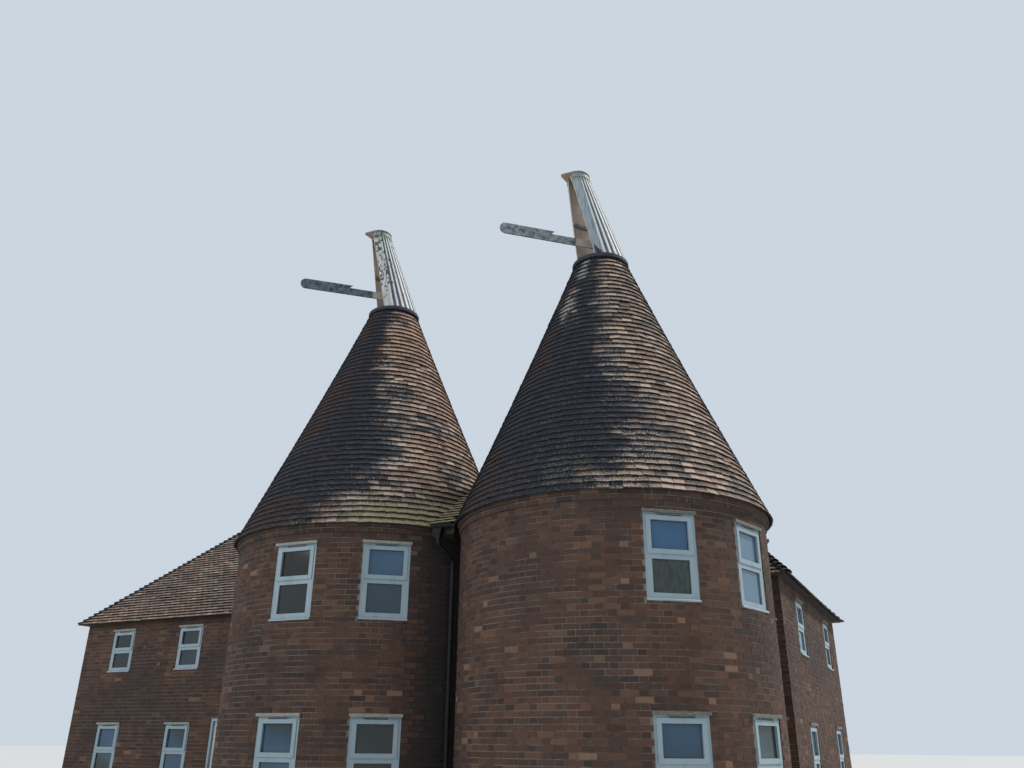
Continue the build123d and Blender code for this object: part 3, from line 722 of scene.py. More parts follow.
# What each CAD node wears, by the first words that its name holds
NODE_LOOKS = (
    ("cowl_hood", {side: cowl_material(kiln) for side, kiln in kilns.items()}),
    ("cowl_cap", {side: cap_material(kiln) for side, kiln in kilns.items()}),
    ("cowl_vane", vane_material()),
    ("cowl_post", beam_look),
    ("beams", beam_look),
    ("kerb", kerb_material()),
    ("floor", floor_look),
    ("glass", glass_material()),
    ("windows", frame_look),
    ("door_frame", frame_look),
    ("door_leaf", timber_material("door_paint", (0.430, 0.440, 0.420), (0.640, 0.650, 0.630))),
    ("rainwater", plastic_material()),
    ("roof", backing_look),
    ("", mortar_material()))


def dress_nodes():
    """Gives every CAD node its material."""
    for name, node in nodes.items():
        look = next(look for words, look in NODE_LOOKS if words in name)
        if isinstance(look, dict):
            look = look[name.split("_")[0]]
        node.data.materials.clear()
        node.data.materials.append(look)


# Bricks

def lay_courses(length, top, gaps):
    """Flemish bond on a wall length metres long, as rows of (start, end, low, high, header).

    gaps are the rectangles (start, end, low, high) that hold no brick.
    """
    pair = BRICK_LENGTH + BRICK_WIDTH + 2 * MORTAR_JOINT
    pairs = max(1, round(length / pair))
    stretch = length / (pairs * pair)
    bricks = []
    for course in range(ceil(top / BRICK_COURSE)):
        high = top - course * BRICK_COURSE - MORTAR_JOINT / 2
        low = max(0.0, top - (course + 1) * BRICK_COURSE + MORTAR_JOINT / 2)
        if high - low < MORTAR_JOINT:
            continue
        start = -pair * stretch * (1.0 if course % 2 else 0.5)
        for count in range(2 * (pairs + 2)):
            header = count % 2 == 1
            width = (BRICK_WIDTH if header else BRICK_LENGTH) * stretch
            spans = [(start, start + width, low, high)]
            for gap in gaps:
                spans = [piece for span in spans for piece in cut_span(span, gap)]
            for s0, s1, z0, z1 in spans:
                s0, s1 = max(s0, 0.0), min(s1, length)
                if s1 - s0 > SHORTEST_BRICK and z1 - z0 > MORTAR_JOINT:
                    bricks.append((s0, s1, z0, z1, header))
            start += width + MORTAR_JOINT * stretch
    return np.array(bricks, float)


def cut_span(span, gap):
    """What is left of a brick's span beside, above and below a gap."""
    s0, s1, z0, z1 = span
    g0, g1, h0, h1 = gap
    if s1 <= g0 or s0 >= g1 or z1 <= h0 or z0 >= h1:
        return [span]
    inner = (max(s0, g0), min(s1, g1))
    pieces = ((s0, g0, z0, z1), (g1, s1, z0, z1), (*inner, h1, z1), (*inner, z0, h0))
    return [piece for piece in pieces if piece[0] < piece[1] and piece[2] < piece[3]]


def brick_traits(bricks, rng):
    """A tone and a burnt share for each brick."""
    header = bricks[:, 4] > 0.5
    tone = np.clip(rng.normal(0.48, 0.22, len(bricks)), 0, 1)
    burnt = rng.random(len(bricks)) < np.where(header, 0.30, 0.08)
    return {"tone": tone, "burnt": burnt * rng.uniform(0.3, 0.8, len(bricks))}


def foot_of(solid):
    """The lowest points of a solid."""
    return solid[solid[:, 2] < solid[:, 2].min() + 0.02]


def window_gaps_round(kiln):
    """The kiln's window holes as distances round the wall from its hidden back, and heights."""
    gaps = []
    for solid in solids_of(f"{kiln.side}_kiln_windows"):
        centre = (solid.min(0) + solid.max(0)) / 2
        turn = radians(kiln.azimuth(centre[None])[0])
        half = np.abs((foot_of(solid)[:, :2] - [kiln.x, kiln.y]) @ [cos(turn), sin(turn)]).max()
        reach = asin(half / kiln.wall_radius) * kiln.wall_radius
        middle = ((turn + pi) % (2 * pi)) * kiln.wall_radius
        gaps.append((middle - reach, middle + reach, solid[:, 2].min(), solid[:, 2].max()))
    return gaps


def recess_shade_share(kiln, points):
    """How deep points lie in the recess between the kilns, from 0 to 1, for the painted shade there."""
    azimuth = kiln.azimuth(points) + 10 * (blotches(points, 0.4, 19) - 0.5)
    share = smooth(-66, -84, azimuth) if kiln.side == "right" else smooth(44, 58, azimuth)
    return share * (points[:, 1] < stowage_front)


def kiln_bricks(kiln, seed):
    """The kiln's wall as bricks a little proud of their mortar."""
    rng = np.random.default_rng(seed)
    radius = kiln.wall_radius
    girth = 2 * pi * radius
    touch = asin(sqrt(radius**2 - kiln.x**2) / radius) * radius
    toward = (0.5 * pi if kiln.side == "right" else 1.5 * pi) * radius
    hidden = asin(sqrt(1 - (stowage_front / radius) ** 2)) * radius
    gaps = window_gaps_round(kiln)
    for start, end in ((toward - touch, toward + touch), (0.0, hidden), (girth - hidden, girth)):
        gaps.append((start, end, 0.0, kiln.wall_top))
    bricks = lay_courses(girth, kiln.wall_top, gaps)
    turn0, turn1 = bricks[:, 0] / radius + pi, bricks[:, 1] / radius + pi
    low, high = bricks[:, 2], bricks[:, 3]
    proud = radius + BRICK_PROUD + rng.uniform(-0.0015, 0.0015, len(bricks))
    points = np.stack([
        kiln.spot(turn, reach, height) for reach in (proud, radius - BRICK_BED)
        for turn, height in ((turn0, low), (turn1, low), (turn1, high), (turn0, high))], axis=1)
    middle = points.mean(axis=1)
    stain = patches(middle, 0.9, seed, 0.52, 0.8) * 0.5
    # Painted shade under the eaves, on the top courses.
    stain = np.maximum(stain, 0.35 * smooth(kiln.wall_top - 0.25, kiln.wall_top, middle[:, 2]))
    # Painted shade in the recess between the kilns.
    stain = np.maximum(stain, 0.92 * recess_shade_share(kiln, middle))
    solids = Solids()
    solids.add(points, BOX_QUADS, stain=stain, **brick_traits(bricks, rng))
    return solids.build(f"{kiln.side}_kiln_bricks", bricks_look, slot="brick")


def corbel_bricks(kiln, seed):
    """Oversailing courses of bricks with rounded lower edges."""
    rng = np.random.default_rng(seed)
    solids = Solids()
    step = (kiln.corbel_radius - kiln.wall_radius) / CORBEL_COURSES
    half_way = radians(45)
    back = kiln.wall_radius - BRICK_BED
    other = kilns["left" if kiln.side == "right" else "right"]
    for course in range(CORBEL_COURSES):
        face = kiln.wall_radius + course * step + CORBEL_PROUD
        bed = kiln.wall_top + course * BRICK_COURSE
        top = bed + BRICK_COURSE - MORTAR_JOINT
        profile = [
            (face, bed), (face + step * sin(half_way), bed + step - step * cos(half_way)),
            (face + step, bed + step), (face + step, top), (back, top), (back, bed)]
        count = round(2 * pi * face / (BRICK_LENGTH + MORTAR_JOINT))
        turns = (np.arange(count) + 0.5 * course) * 2 * pi / count
        half = pi / count - MORTAR_JOINT / 2 / face
        points = np.stack([
            kiln.spot(turns + end * half, reach, height)
            for end in (-1, 1) for reach, height in profile], axis=1)
        middle = points.mean(axis=1)
        keep = (other.reach(middle) > other.corbel_radius + BRICK_LENGTH / 2) | (kiln.x * middle[:, 0] > 0)
        keep &= middle[:, 1] < stowage_front + 0.1
        points, middle = points[keep], middle[keep]
        kept = len(points)
        quads = [(i, (i + 1) % 6, 6 + (i + 1) % 6, 6 + i) for i in range(6)]
        quads += [(5, 2, 1, 0), (5, 4, 3, 2), (6, 7, 8, 11), (8, 9, 10, 11)]
        # The corbel bricks darkened all round, partly stains and partly painted shade under the eaves, and
        # more in the recess between the kilns.
        solids.add(
            points, quads,
            tone=np.clip(rng.normal(0.45, 0.2, kept), 0, 1),
            burnt=(rng.random(kept) < 0.12) * 0.8,
            stain=np.maximum(rng.uniform(0.15, 0.5, kept), 0.92 * recess_shade_share(kiln, middle)))
    return solids.build(f"{kiln.side}_corbel_bricks", bricks_look, slot="brick")


def flat_bricks(name, origin, along, outward, length, gaps, top, seed):
    """A straight wall of bricks a little proud of its mortar."""
    rng = np.random.default_rng(seed)
    bricks = lay_courses(length, top, gaps)
    proud = BRICK_PROUD + rng.uniform(-0.002, 0.0015, len(bricks))
    spans = np.stack([
        *bricks[:, :2].T, np.full(len(bricks), -BRICK_BED), proud, *bricks[:, 2:4].T], axis=1)
    points = box_between(origin, along, outward, spans)
    solids = Solids()
    stain = patches(points.mean(axis=1), 1.1, seed, 0.55, 0.85) * 0.6
    solids.add(points, BOX_QUADS, stain=stain, **brick_traits(bricks, rng))
    return solids.build(name, bricks_look, slot="brick")


def wall_gaps(origin, along, outward, length):
    """The stowage's window and door holes in one straight wall, as distances along it and heights."""
    gaps = []
    for solid in solids_of("stowage_windows") + solids_of("door_frame"):
        depth = (solid - origin) @ outward
        foot = (foot_of(solid) - origin) @ along
        if depth.min() >= -0.3 and depth.max() <= 0.1 and foot.min() > 0 and foot.max() < length:
            gaps.append((foot.min(), foot.max(), solid[:, 2].min(), solid[:, 2].max()))
    return gaps


def stowage_bricks():
    """The stowage's four walls."""
    low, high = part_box("stowage_front_wall")
    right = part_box("stowage_right_wall")[1].x
    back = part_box("stowage_back_wall")[1].y
    for seed, (name, *side) in enumerate(sides_of(low.x, low.y, right, back, 0.0)):
        gaps = wall_gaps(*side)
        if name == "front":
            reach = sqrt(right_kiln.wall_radius**2 - low.y**2)
            gaps.append((left_kiln.x - reach - low.x, right_kiln.x + reach - low.x, 0.0, high.z))
        flat_bricks(f"stowage_{name}_bricks", *side, gaps, high.z, 20 + seed)


# Tiles

TILE_ACROSS = np.array([-1.0, 0.0, 1.0])
TILE_STATIONS = (
    (0.0, TILE_TAIL_LIFT), (0.0, TILE_TAIL_LIFT + TILE_THICKNESS),
    (TILE_LENGTH, TILE_HEAD_LIFT + TILE_THICKNESS), (TILE_LENGTH, TILE_HEAD_LIFT))
TILE_QUADS = sheet_quads(len(TILE_ACROSS))
TILE_EDGE = np.repeat([1.0, 0.0], 6)
TILE_SIDE = np.tile(np.abs(TILE_ACROSS), 4)


def tile_shape(count, rng, half):
    """How far along, up and off the slope each tile's twelve corners lie, with the tiles' own faults."""
    turn = rng.normal(0.0, 0.005, count)
    slip = rng.normal(0.0, 0.0020, count) - (rng.random(count) < 0.012) * rng.uniform(0.01, 0.030, count)
    lift = np.abs(rng.normal(0.0, 0.0022, count))
    corners = []
    for up, off in TILE_STATIONS:
        for across in TILE_ACROSS:
            side = across * half - (up - TILE_LENGTH / 2) * turn
            rise = up + slip + across * half * turn
            if up == 0.0:
                rise = rise + rng.normal(0.0, 0.0010, count)
            stand = off + TILE_CAMBER * (1 - abs(across)) + lift * (1 - up / TILE_LENGTH)
            corners.append(np.stack([side, rise, stand], axis=1))
    return np.stack(corners, axis=1)


def add_tiles(solids, points, **traits):
    """Adds tiles with their traits and with where each corner lies on its tile."""
    shape = (len(points), 1)
    solids.add(points, TILE_QUADS, edge=np.tile(TILE_EDGE, shape), side=np.tile(TILE_SIDE, shape), **traits)


def soot_and_shade_side(kiln, points, height, line, reaches, size, seed):
    """The azimuth, the border of the blackening and painted shade, the dashes across it, how far points lie
    past it, and the blackening with its painted shade.
    """
    azimuth = kiln.azimuth(points)
    border = np.interp(height, *line)
    dash = dashes(kiln, points, 0.42, seed)
    blotch = blotches(points, size, seed + 1)
    ragged = azimuth - border + reaches[0] * (dash - 0.5) + reaches[1] * (blotch - 0.5)
    # The blackening of the cone's dark side, partly painted shade, fading out past the border of that shade.
    soot = smooth(24, -20, ragged) * smooth(-174, -130, azimuth + 24 * (dash - 0.5))
    return azimuth, border, dash, ragged, soot


def right_kiln_weather(points, height):
    """Soot, moss, lichen and warmth on the right kiln's roof, where height goes from 0 to 1. The blackening
    also holds painted shade on the roof's dark side.
    """
    line = (0, 0.05, 0.12, 0.22, 0.4, 0.6, 0.8, 1), (19, 19, 32, 32, 25, 20, 18, 20)
    azimuth, border, dash, ragged, soot = soot_and_shade_side(right_kiln, points, height, line, (20, 10), 0.3, 3)
    streaks = smooth(0.56, 0.80, dashes(right_kiln, points, 0.6, 5))
    streaks *= smooth(46, 14, ragged) * smooth(0.75, 0.45, height)
    smudge = patches(points, 0.34, 15, 0.58, 0.72) * near(azimuth, 36, 26, 6) * smooth(0.4, 0.1, height)
    soot = np.maximum(soot, 0.6 * np.maximum(streaks, smudge))
    middle = np.interp(height, (0.66, 0.72, 0.78, 0.86, 0.95), (-8, -12, -18, -18, -9))
    patch = near(azimuth, middle, 15, 5) * smooth(0.64, 0.72, height) * smooth(1.02, 0.98, height)
    patch *= patches(points, 0.12, 6, 0.2, 0.7)
    # Pale flecks along the border of the shade: lichen, and painted glints of lit tails.
    border_lichen_and_glints = 0.30 * near(azimuth, border + 4, 15, 3) * smooth(0.35, 0.65, dash)
    lichen = np.maximum(np.where(ragged < -8, 0.08, 0.20 + border_lichen_and_glints), 1.05 * patch)
    olive = near(azimuth, 6, 14, 6) * smooth(0.22, 0.10, height) * smooth(-0.01, 0.03, height)
    moss = np.maximum(0.42 * olive, 0.4 * smooth(0.07, 0.01, height) * patches(points, 0.5, 7, 0.5, 0.7))
    warm = 0.35 * patches(points, 0.45, 16, 0.55, 0.8)
    brown = smooth(8, -30, azimuth) * patches(points, 0.5, 21, 0.32, 0.68)
    return soot * (1 - 0.12 * olive), moss, lichen, np.maximum(warm, 0.8 * brown)


def left_kiln_weather(points, height):
    """Soot, moss, lichen and warmth on the left kiln's roof, where height goes from 0 to 1. The blackening
    also holds painted shade on the roof's dark side.
    """
    line = (0, 0.06, 0.1, 0.2, 0.35, 0.5, 0.65, 0.8, 1), (10, 17, 24, 38, 43, 38, 28, 29, 37)
    azimuth, border, dash, ragged, soot = soot_and_shade_side(left_kiln, points, height, line, (22, 12), 0.35, 8)
    streaks = smooth(0.54, 0.78, dashes(left_kiln, points, 0.5, 10)) * smooth(60, 20, ragged)
    column = near(azimuth + 6 * (dash - 0.5), 66, 9, 3)
    column *= smooth(0.10, 0.22, height) * smooth(0.62, 0.48, height) * patches(points, 0.25, 17, 0.3, 0.6)
    soot = np.maximum(soot, 0.62 * np.maximum(streaks, column))
    # Pale flecks along the border of the shade: lichen, and painted glints of lit tails.
    lichen = 0.20 + 0.25 * near(azimuth, border + 4, 18, 4) * smooth(0.3, 0.7, dash)
    lichen = np.where(ragged < -8, 0.08, lichen)
    low = smooth(0.20, 0.03, height + 0.06 * (blotches(points, 0.4, 12) - 0.5))
    moss = 0.72 * low * smooth(6, 34, azimuth) * smooth(150, 110, azimuth)
    clump = 0.65 * np.exp(-((azimuth - 58) / 8) ** 2 - ((height - 0.205) / 0.030) ** 2)
    warm = smooth(0.40, 0.90, height) * 0.80 + 0.60 * patches(points, 0.35, 18, 0.45, 0.75)
    brown = smooth(22, -12, azimuth) * patches(points, 0.5, 22, 0.22, 0.58)
    warm = np.where(azimuth < border - 12, 0.9 * brown, warm)
    return soot * (1 - 0.6 * moss), np.maximum(moss, clump), lichen, np.clip(warm, 0, 1)


def cone_tiles(kiln, weather, seed):
    """The kiln's courses of plain tiles, which stand for its roof node."""
    rng = np.random.default_rng(seed)
    solids = Solids()
    courses = int(kiln.slope_length / TILE_GAUGE)
    gauge = kiln.slope_length / courses
    for course in range(-1, courses):
        under = course == -1
        tail = max(course, 0) * gauge - CONE_TAIL_OVERHANG + (0.006 if under else 0.0)
        drop = TILE_TAIL_LIFT + TILE_THICKNESS + (TILE_THICKNESS if under else 0.0)
        radius = float(kiln.roof_radius(kiln.eaves + (tail + gauge / 2) * sin(kiln.pitch)))
        count = max(12, round(2 * pi * radius / TILE_WIDTH))
        turns = ((np.arange(count) + rng.uniform(0, 1)) * 2 * pi / count)[:, None]
        shape = tile_shape(count, rng, 1.0)
        rise = tail + shape[:, :, 1]
        if course == courses - 1:
            rise = np.minimum(rise, kiln.slope_length - 0.004)
        level = kiln.eaves + rise * sin(kiln.pitch)
        reach = kiln.roof_radius(level) + np.minimum(rise, 0) * -cos(kiln.pitch)
        side = shape[:, :, 0] * (reach * tan(pi / count) - TILE_GAP / 2)
        stand = shape[:, :, 2] - drop
        points = kiln.spot(turns, reach + stand * sin(kiln.pitch), level + stand * cos(kiln.pitch))
        points[:, :, 0] += np.cos(turns) * side
        points[:, :, 1] += np.sin(turns) * side
        middle = points.mean(axis=1)
        keep = middle[:, 0] * np.sign(kiln.x) > 0.004
        if course == 0 and kiln.side == "left":
            keep &= np.abs(kiln.azimuth(middle) - MISSING_TILE_AZIMUTH) > 180 / count
        points, middle = points[keep], middle[keep]
        spots = points.copy()
        spots[:, :, 2] = middle[:, None, 2]
        share = (spots[:, :, 2] - kiln.eaves) / (kiln.top - kiln.eaves)
        soot, moss, lichen, warm = (
            trait.reshape(share.shape) for trait in weather(spots.reshape(-1, 3), share.reshape(-1)))
        tone = 0.55 + 0.40 * (blotches(middle, 0.33, seed + 1) - 0.5) + rng.normal(0, 0.32, len(middle))
        soot = soot + 1.6 * soot * (1 - soot) * rng.uniform(-0.5, 0.5, len(middle))[:, None]
        add_tiles(solids, points, tone=np.clip(tone, 0, 1), soot=soot, moss=moss, lichen=lichen, warm=warm)
    piece = solids.build(f"{kiln.side}_kiln_tiles", tiles_look, slot="roof_tile")
    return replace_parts(piece, f"{kiln.side}_kiln_roof")


def cone_backing(kiln):
    """The boarding behind the tiles, a thin hollow cone that ends where the two roofs meet."""
    rings = 9
    segments = 120
    outer = TILE_TAIL_LIFT + TILE_THICKNESS + TILE_THICKNESS
    heights = np.linspace(kiln.eaves + 0.004, kiln.top - 0.002, rings)[:, None]
    turns = np.arange(segments) * 2 * pi / segments
    skins = [
        kiln.spot(turns, kiln.roof_radius(heights) - inset / sin(kiln.pitch), heights)
        for inset in (outer, outer + BOARDING_THICKNESS)]
    points = np.concatenate([skins[0], skins[1][::-1]])
    middle = 0.001 * np.sign(kiln.x)
    points[:, :, 0] = np.where(points[:, :, 0] * np.sign(kiln.x) < 0.001, middle, points[:, :, 0])
    solid = Solids()
    solid.add(points.reshape(1, -1, 3), grid_quads(2 * rings, segments, round_columns=True))
    return solid.build(f"{kiln.side}_roof_boarding", backing_look, smooth_faces=True)


def slope_tiles(name, side, pitch, plan_depth, outside, traits_of, seed, hipped):
    """Tiles on a plane that rises inward from its eaves line, cut along its hips if it has them."""
    rng = np.random.default_rng(seed)
    origin, along, outward, length = side
    lean = radians(pitch)
    up = np.array([0, 0, 1.0])
    uphill = up * sin(lean) - outward * cos(lean)
    normal = up * cos(lean) + outward * sin(lean)
    slope = plan_depth / cos(lean)
    solids = Solids()
    for course in range(-1, ceil(slope / TILE_GAUGE)):
        tail = max(course, 0) * TILE_GAUGE - SLOPE_TAIL_OVERHANG
        count = ceil(length / TILE_WIDTH) + 2
        middles = (np.arange(count) - 0.5 * (course % 2)) * TILE_WIDTH + rng.uniform(-0.004, 0.004)
        shape = tile_shape(count, rng, (TILE_WIDTH - TILE_GAP) / 2)
        rise = np.minimum(tail + shape[:, :, 1], slope)
        stand = shape[:, :, 2] - (TILE_THICKNESS if course == -1 else 0.0)
        inset = np.maximum(rise, 0) * cos(lean) * hipped
        across = np.clip(middles[:, None] + shape[:, :, 0], inset, length - inset)
        wide = across.max(axis=1) - across.min(axis=1)
        points = origin + across[..., None] * along + rise[..., None] * uphill + stand[..., None] * normal
        middle = points.mean(axis=1)
        keep = (wide > NARROWEST_TILE) & ~outside(middle)
        if keep.any():
            add_tiles(solids, points[keep], **traits_of(middle[keep], rng))
    return solids.build(name, tiles_look, slot="roof_tile")


def stowage_traits(points, rng):
    """The stowage's tiles: brown, with faint patches of dark and a little lichen."""
    tone = 0.50 + 0.4 * (blotches(points, 0.5, 31) - 0.5) + rng.normal(0, 0.20, len(points))
    level = points * [0.35, 0.35, 1.0]
    return {
        "tone": np.clip(tone, 0, 1),
        "soot": 0.32 * patches(level, 0.30, 32, 0.30, 0.90) + rng.uniform(0, 0.12, len(points)),
        "moss": 0.35 * patches(level, 0.35, 34, 0.55, 0.9),
        "lichen": 0.16 + 0.25 * patches(level, 0.25, 33, 0.45, 0.85),
        "warm": 0.4 * patches(points, 0.5, 36, 0.4, 0.8)}


def infill_traits(points, rng):
    """The infill roof's tiles: mossy nearly all over."""
    even = np.ones(len(points))
    return {
        "tone": rng.uniform(0.4, 0.9, len(points)), "moss": 0.55 + 0.4 * blotches(points, 0.2, 35),
        "soot": 0.1 * even, "lichen": 0.35 * even, "warm": 0.2 * even}


def inside_kilns(points):
    """Whether points lie inside either kiln."""
    return right_kiln.covers(points, 0.01) | left_kiln.covers(points, 0.01)


def infill_side(points):
    """The height of the infill roof's two side slopes over points."""
    return infill_high.z - np.abs(points[:, 0]) * tan(radians(INFILL_SIDE_PITCH))


def stowage_tiles():
    """The four slopes of the stowage's roof."""
    low, high = roof_low, roof_high
    half = (high.y - low.y) / 2

    def outside(points):
        under_infill = (points[:, 2] < infill_side(points) - 0.02) & (np.abs(points[:, 0]) < right_kiln.x)
        under_infill &= (points[:, 1] > infill_low.y) & (points[:, 1] < low.y + half)
        return inside_kilns(points) | under_infill

    for seed, (name, *side) in enumerate(sides_of(low.x, low.y, high.x, high.y, low.z)):
        slope_tiles(f"stowage_{name}_tiles", side, STOWAGE_PITCH, half, outside, stowage_traits, 40 + seed, 1)


def infill_tiles():
    """The small roof between the kilns: its front slope and its two side slopes."""
    front, eaves = infill_low.y, right_kiln.eaves
    rise = infill_high.z - eaves
    half = rise / tan(radians(INFILL_SIDE_PITCH))

    def outside_front(points):
        return inside_kilns(points) | (points[:, 2] > infill_side(points) + 0.03)

    def outside_side(points):
        stowage_slope = roof_low.z + (points[:, 1] - roof_low.y) * tan(radians(STOWAGE_PITCH))
        under_stowage = (points[:, 1] > roof_low.y) & (points[:, 2] < stowage_slope)
        front_slope = eaves + (points[:, 1] - front) * tan(radians(INFILL_PITCH))
        return inside_kilns(points) | under_stowage | (points[:, 2] > front_slope + 0.03)

    sides = {name: side for name, *side in sides_of(-half, front, half, infill_high.y, eaves)}
    for seed, (name, pitch, depth, outside) in enumerate((
            ("front", INFILL_PITCH, rise / tan(radians(INFILL_PITCH)), outside_front),
            ("right", INFILL_SIDE_PITCH, half, outside_side),
            ("left", INFILL_SIDE_PITCH, half, outside_side))):
        slope_tiles(f"infill_{name}_tiles", sides[name], pitch, depth, outside, infill_traits, 50 + seed, 0)


def arched_tiles(solids, starts, ends, sideways, radii, spread, traits):
    """Curved cover tiles from starts to ends, arched over an angle of spread each side of the top."""
    columns = 7
    axis = ends - starts
    axis = axis / np.linalg.norm(axis, axis=1)[:, None]
    side = sideways / np.linalg.norm(sideways, axis=1)[:, None]
    top = np.cross(side, axis)
    top *= np.sign(top[:, 2])[:, None]
    inner = COVER_TILE_THICKNESS
    points = np.stack([
        centre + side * (reach * sin(turn)) + top * (reach * cos(turn))
        for centre, reach in (
            (starts, radii[0]), (starts, radii[0] - inner), (ends, radii[1] - inner), (ends, radii[1]))
        for turn in np.linspace(-spread, spread, columns)], axis=1)
    solids.add(points, sheet_quads(columns), **traits)


def ridge_and_hips():
    """Half-round ridge tiles and the bonnets that run up the stowage's hips."""
    rng = np.random.default_rng(60)
    low, high = roof_low, roof_high
    half = (high.y - low.y) / 2
    solids = Solids()
    start, end = low.x + half - 0.05, high.x - half + 0.05
    count = round((end - start) / RIDGE_TILE_LENGTH)
    edges = np.linspace(start, end, count + 1)
    centre = high.z - RIDGE_TILE_RADIUS * 0.45 + TILE_TAIL_LIFT
    starts, ends = (
        np.stack([x, np.full(count, low.y + half), np.full(count, centre)], axis=1)
        for x in (edges[:-1] + TILE_GAP, edges[1:] - TILE_GAP))
    starts[:, 2] += rng.normal(0, 0.003, count)
    sideways = np.tile([0, 1.0, 0], (count, 1))
    radii = (RIDGE_TILE_RADIUS, RIDGE_TILE_RADIUS)
    arched_tiles(solids, starts, ends, sideways, radii, radians(82), stowage_traits(starts, rng))
    lean = radians(STOWAGE_PITCH)
    courses = int(half / cos(lean) / TILE_GAUGE)
    steps = (np.arange(courses) * TILE_GAUGE * cos(lean))[:, None]
    for corner_x, corner_y, step_x, step_y in (
            (low.x, low.y, 1, 1), (high.x, low.y, -1, 1), (low.x, high.y, 1, -1), (high.x, high.y, -1, -1)):
        direction = np.array([step_x, step_y, tan(lean)])
        sideways = np.tile([-step_y, step_x, 0.0], (courses, 1))
        foot = np.array([corner_x, corner_y, low.z])
        tails = foot + (steps - SLOPE_TAIL_OVERHANG) * direction
        heads = foot + (steps + BONNET_LENGTH) * direction
        tails[:, 2] += -0.045 + TILE_TAIL_LIFT + rng.normal(0, 0.002, courses)
        heads[:, 2] += -0.075
        keep = ~inside_kilns(tails)
        arched_tiles(
            solids, tails[keep], heads[keep], sideways[keep], BONNET_RADII, radians(68),
            stowage_traits(tails[keep], rng))
    return solids.build("stowage_ridge_and_bonnets", tiles_look, slot="roof_tile")


# Windows

def pane_frames(node, hub):
    """The middle, the sideways and outward directions and the half sizes of each pane in a glass node.

    hub is a point on the inner side of all its panes.
    """
    found = []
    for solid in solids_of(node):
        middle = (solid.min(0) + solid.max(0)) / 2
        spread = solid[:, :2] - solid[:, :2].mean(0)
        _, vectors = np.linalg.eigh(spread.T @ spread)
        outward = np.array([vectors[1, 1], -vectors[0, 1], 0.0])
        outward *= np.sign((middle - hub) @ outward)
        along = np.array([-outward[1], outward[0], 0.0])
        half_width, half_depth = (np.abs((solid - middle) @ way).max() for way in (along, outward))
        found.append((middle, along, outward, half_width, half_depth, np.ptp(solid[:, 2]) / 2))
    return found


def window_fittings(node, name, hub):
    """A dark gasket round every pane, and over each opening light a painted drip board and a vent's slot,
    whose dark skin is painted shade.
    """
    gaskets, slots, boards = Solids(), Solids(), Solids()
    panes = pane_frames(node, hub)
    middles = np.array([pane[0] for pane in panes])
    for middle, along, outward, w, depth, h in panes:
        place = (middle, along, outward)
        bead = (depth - 0.004, depth + GASKET_PROUD)
        inner = (GASKET_FACE - h, h - GASKET_FACE)
        gaskets.add_boxes(
            place, (-w, w, *bead, -h, inner[0]), (-w, w, *bead, inner[1], h),
            (-w, GASKET_FACE - w, *bead, *inner), (w - GASKET_FACE, w, *bead, *inner))
        below = np.hypot(*(middles - middle)[:, :2].T) < 0.01
        rise = middle[2] - middles[below, 2]
        if not ((rise > 0.1) & (rise < 1.0)).any():
            continue
        face = FRAME_FACE_FROM_PANE
        head = h + HEAD_ABOVE_PANE
        vent = h + HEAD_ABOVE_PANE / 2
        half_slot, half_gap = VENT_SLOT[0] / 2, VENT_SLOT[1] / 2
        # The vent's slot: a dark skin that stands for the shade inside it.
        slots.add_boxes(place, (
            -half_slot, half_slot, face + VENT_PROUD - SKIN, face + VENT_PROUD + SKIN,
            vent - half_gap, vent + half_gap))
        boards.add_boxes(place, (
            -w - DRIP_LAP - SKIN, w + DRIP_LAP + SKIN, face + DRIP_BACK, face + DRIP_PROJECTION + SKIN,
            head - DRIP_HEIGHT - SKIN, head + SKIN))
    gaskets.build(f"{name}_gaskets", gasket_look, slot="black_plastic")
    slots.build(f"{name}_vent_slots", gasket_look, slot="black_plastic")
    boards.build(f"{name}_drip_boards", drip_look)


# Cowls

def torn_flap():
    """A torn strip of dark felt that stands up round the foot of the right cowl, beside its mouth."""
    low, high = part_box("right_cowl_hood")
    turns = np.radians((12.0, 13.5, 15.0, 16.5, 18.0, 19.5, 21.0, 23.0, 25.0))
    tops = np.array((0.150, 0.168, 0.120, 0.135, 0.082, 0.096, 0.050, 0.058, 0.022))
    rows = []
    for stand, level in ((0.020, 0.0), (0.023, 0.0), (0.017, 1.0), (0.014, 1.0)):
        height = tops * level + 0.004
        share = height / (high.z - low.z)
        reach = COWL_BASE_RADIUS + (COWL_TOP_RADIUS - COWL_BASE_RADIUS) * share + stand
        lean = share[:, None] * COWL_LEAN * np.array([*COWL_FORWARD, 0.0])
        rows.append(right_kiln.spot(turns, reach, low.z + height) + lean)
    flap = Solids()
    flap.add(np.concatenate(rows)[None], sheet_quads(len(turns)))
    return flap.build("torn_felt_flap", felt_look, body="right_cowl")


# The scene

def add_stage():
    """A pale floor, wide enough to meet the backdrop."""
    size = 240.0
    level = -0.002
    mesh = bpy.data.meshes.new("studio_floor")
    corners = [(x * size, y * size, level) for x, y in ((-1, -1), (1, -1), (1, 1), (-1, 1))]
    mesh.from_pydata(corners, [], [(0, 1, 2, 3)])
    floor = new_object("studio_floor", mesh)
    mesh.materials.append(Graph("pale_floor", 0.9).finish((0.50, 0.51, 0.52)))


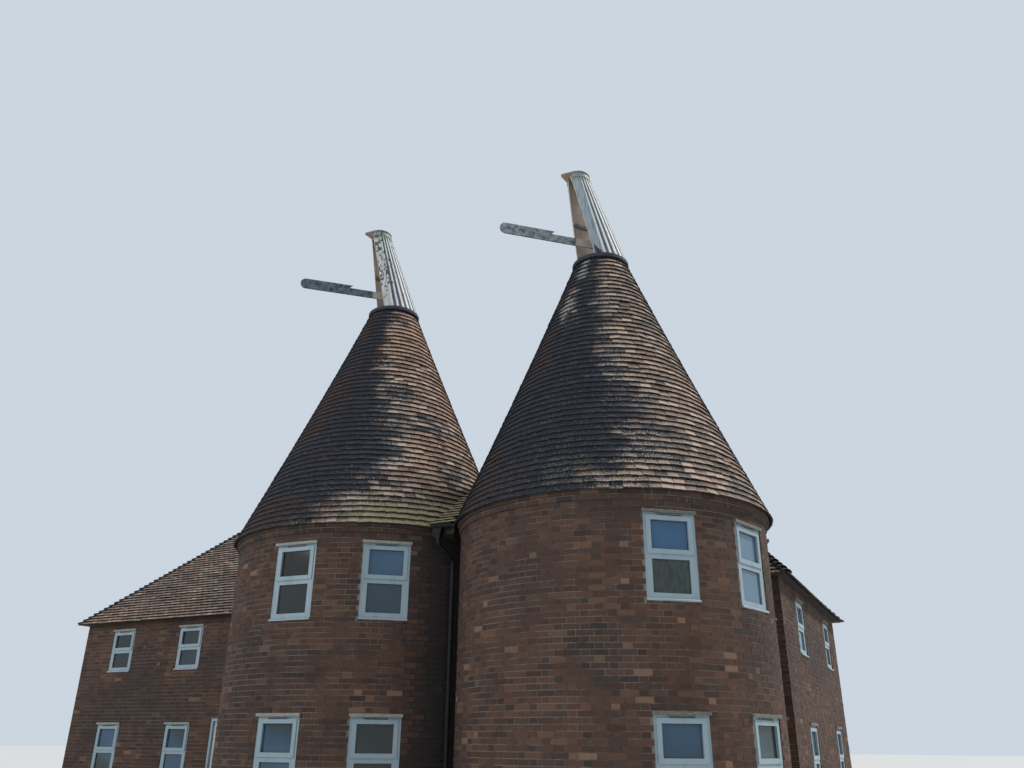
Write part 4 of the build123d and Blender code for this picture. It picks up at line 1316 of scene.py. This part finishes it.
def add_world():
    """Soft even light, and a pale backdrop for camera, mirror and glass rays."""
    world = bpy.data.worlds.new("studio")
    bpy.context.scene.world = world
    world.use_nodes = True
    tree = world.node_tree
    tree.nodes.clear()
    light, backdrop = (
        new_node(tree, "ShaderNodeBackground", {"Color": colour, "Strength": strength}).outputs[0]
        for colour, strength in (((0.92, 0.96, 1.0), 0.55), ((0.60, 0.67, 0.75), 1.0)))
    rays = new_node(tree, "ShaderNodeLightPath").outputs
    shown = rays["Is Camera Ray"]
    for ray in ("Is Glossy Ray", "Is Transmission Ray"):
        shown = new_node(tree, "ShaderNodeMath", {0: shown, 1: rays[ray]}, operation="MAXIMUM").outputs[0]
    mix = new_node(tree, "ShaderNodeMixShader", {0: shown, 1: light, 2: backdrop})
    new_node(tree, "ShaderNodeOutputWorld", {"Surface": mix.outputs[0]})


def add_sun(name, azimuth, elevation, strength, softness, colour):
    """A broad far lamp that shines from an azimuth and an elevation."""
    lamp = bpy.data.lights.new(name, "SUN")
    lamp.energy = strength
    lamp.angle = radians(softness)
    lamp.color = colour
    turn, lift = radians(azimuth), radians(elevation)
    towards = Vector((sin(turn) * cos(lift), -cos(turn) * cos(lift), sin(lift)))
    holder = new_object(name, lamp)
    holder.rotation_mode = "QUATERNION"
    holder.rotation_quaternion = towards.to_track_quat("Z", "Y")
    holder.location = towards * 30


def add_camera():
    """The photograph's viewpoint: at eye height in front of the right kiln, looking up."""
    eye = Vector((6.5106, -11.8933, 1.7))
    forward = Vector((-0.41808, 0.81953, 0.39190)).normalized()
    roll = 0.0093
    level = forward.cross(Vector((0, 0, 1))).normalized()
    upward = level.cross(forward)
    right = level * cos(roll) + upward * sin(roll)
    up = upward * cos(roll) - level * sin(roll)
    camera = bpy.data.cameras.new("photo_view")
    camera.sensor_width = 36.0
    camera.lens = 29.697
    camera.clip_start = 0.1
    camera.clip_end = 600.0
    holder = new_object("photo_view", camera)
    turned = Matrix((right, up, -forward)).transposed().to_4x4()
    turned.translation = eye
    holder.matrix_world = turned
    bpy.context.scene.camera = holder


dress_nodes()
kiln_bricks(right_kiln, 11)
kiln_bricks(left_kiln, 12)
corbel_bricks(right_kiln, 13)
corbel_bricks(left_kiln, 14)
stowage_bricks()
cone_tiles(right_kiln, right_kiln_weather, 101)
cone_tiles(left_kiln, left_kiln_weather, 102)
cone_backing(right_kiln)
cone_backing(left_kiln)
stowage_tiles()
infill_tiles()
ridge_and_hips()
for kiln in kilns.values():
    window_fittings(f"{kiln.side}_kiln_glass", f"{kiln.side}_kiln", (kiln.x, kiln.y, 0.0))
window_fittings("stowage_glass", "stowage", (roof_low + roof_high) / 2)
torn_flap()
add_stage()
add_world()
add_sun("key_light", 131, 48, 3.1, 6, (1.0, 0.965, 0.90))
add_sun("fill_light", -25, 30, 0.9, 40, (0.93, 0.96, 1.0))
add_camera()

view = bpy.context.scene.view_settings
view.view_transform = "Standard"
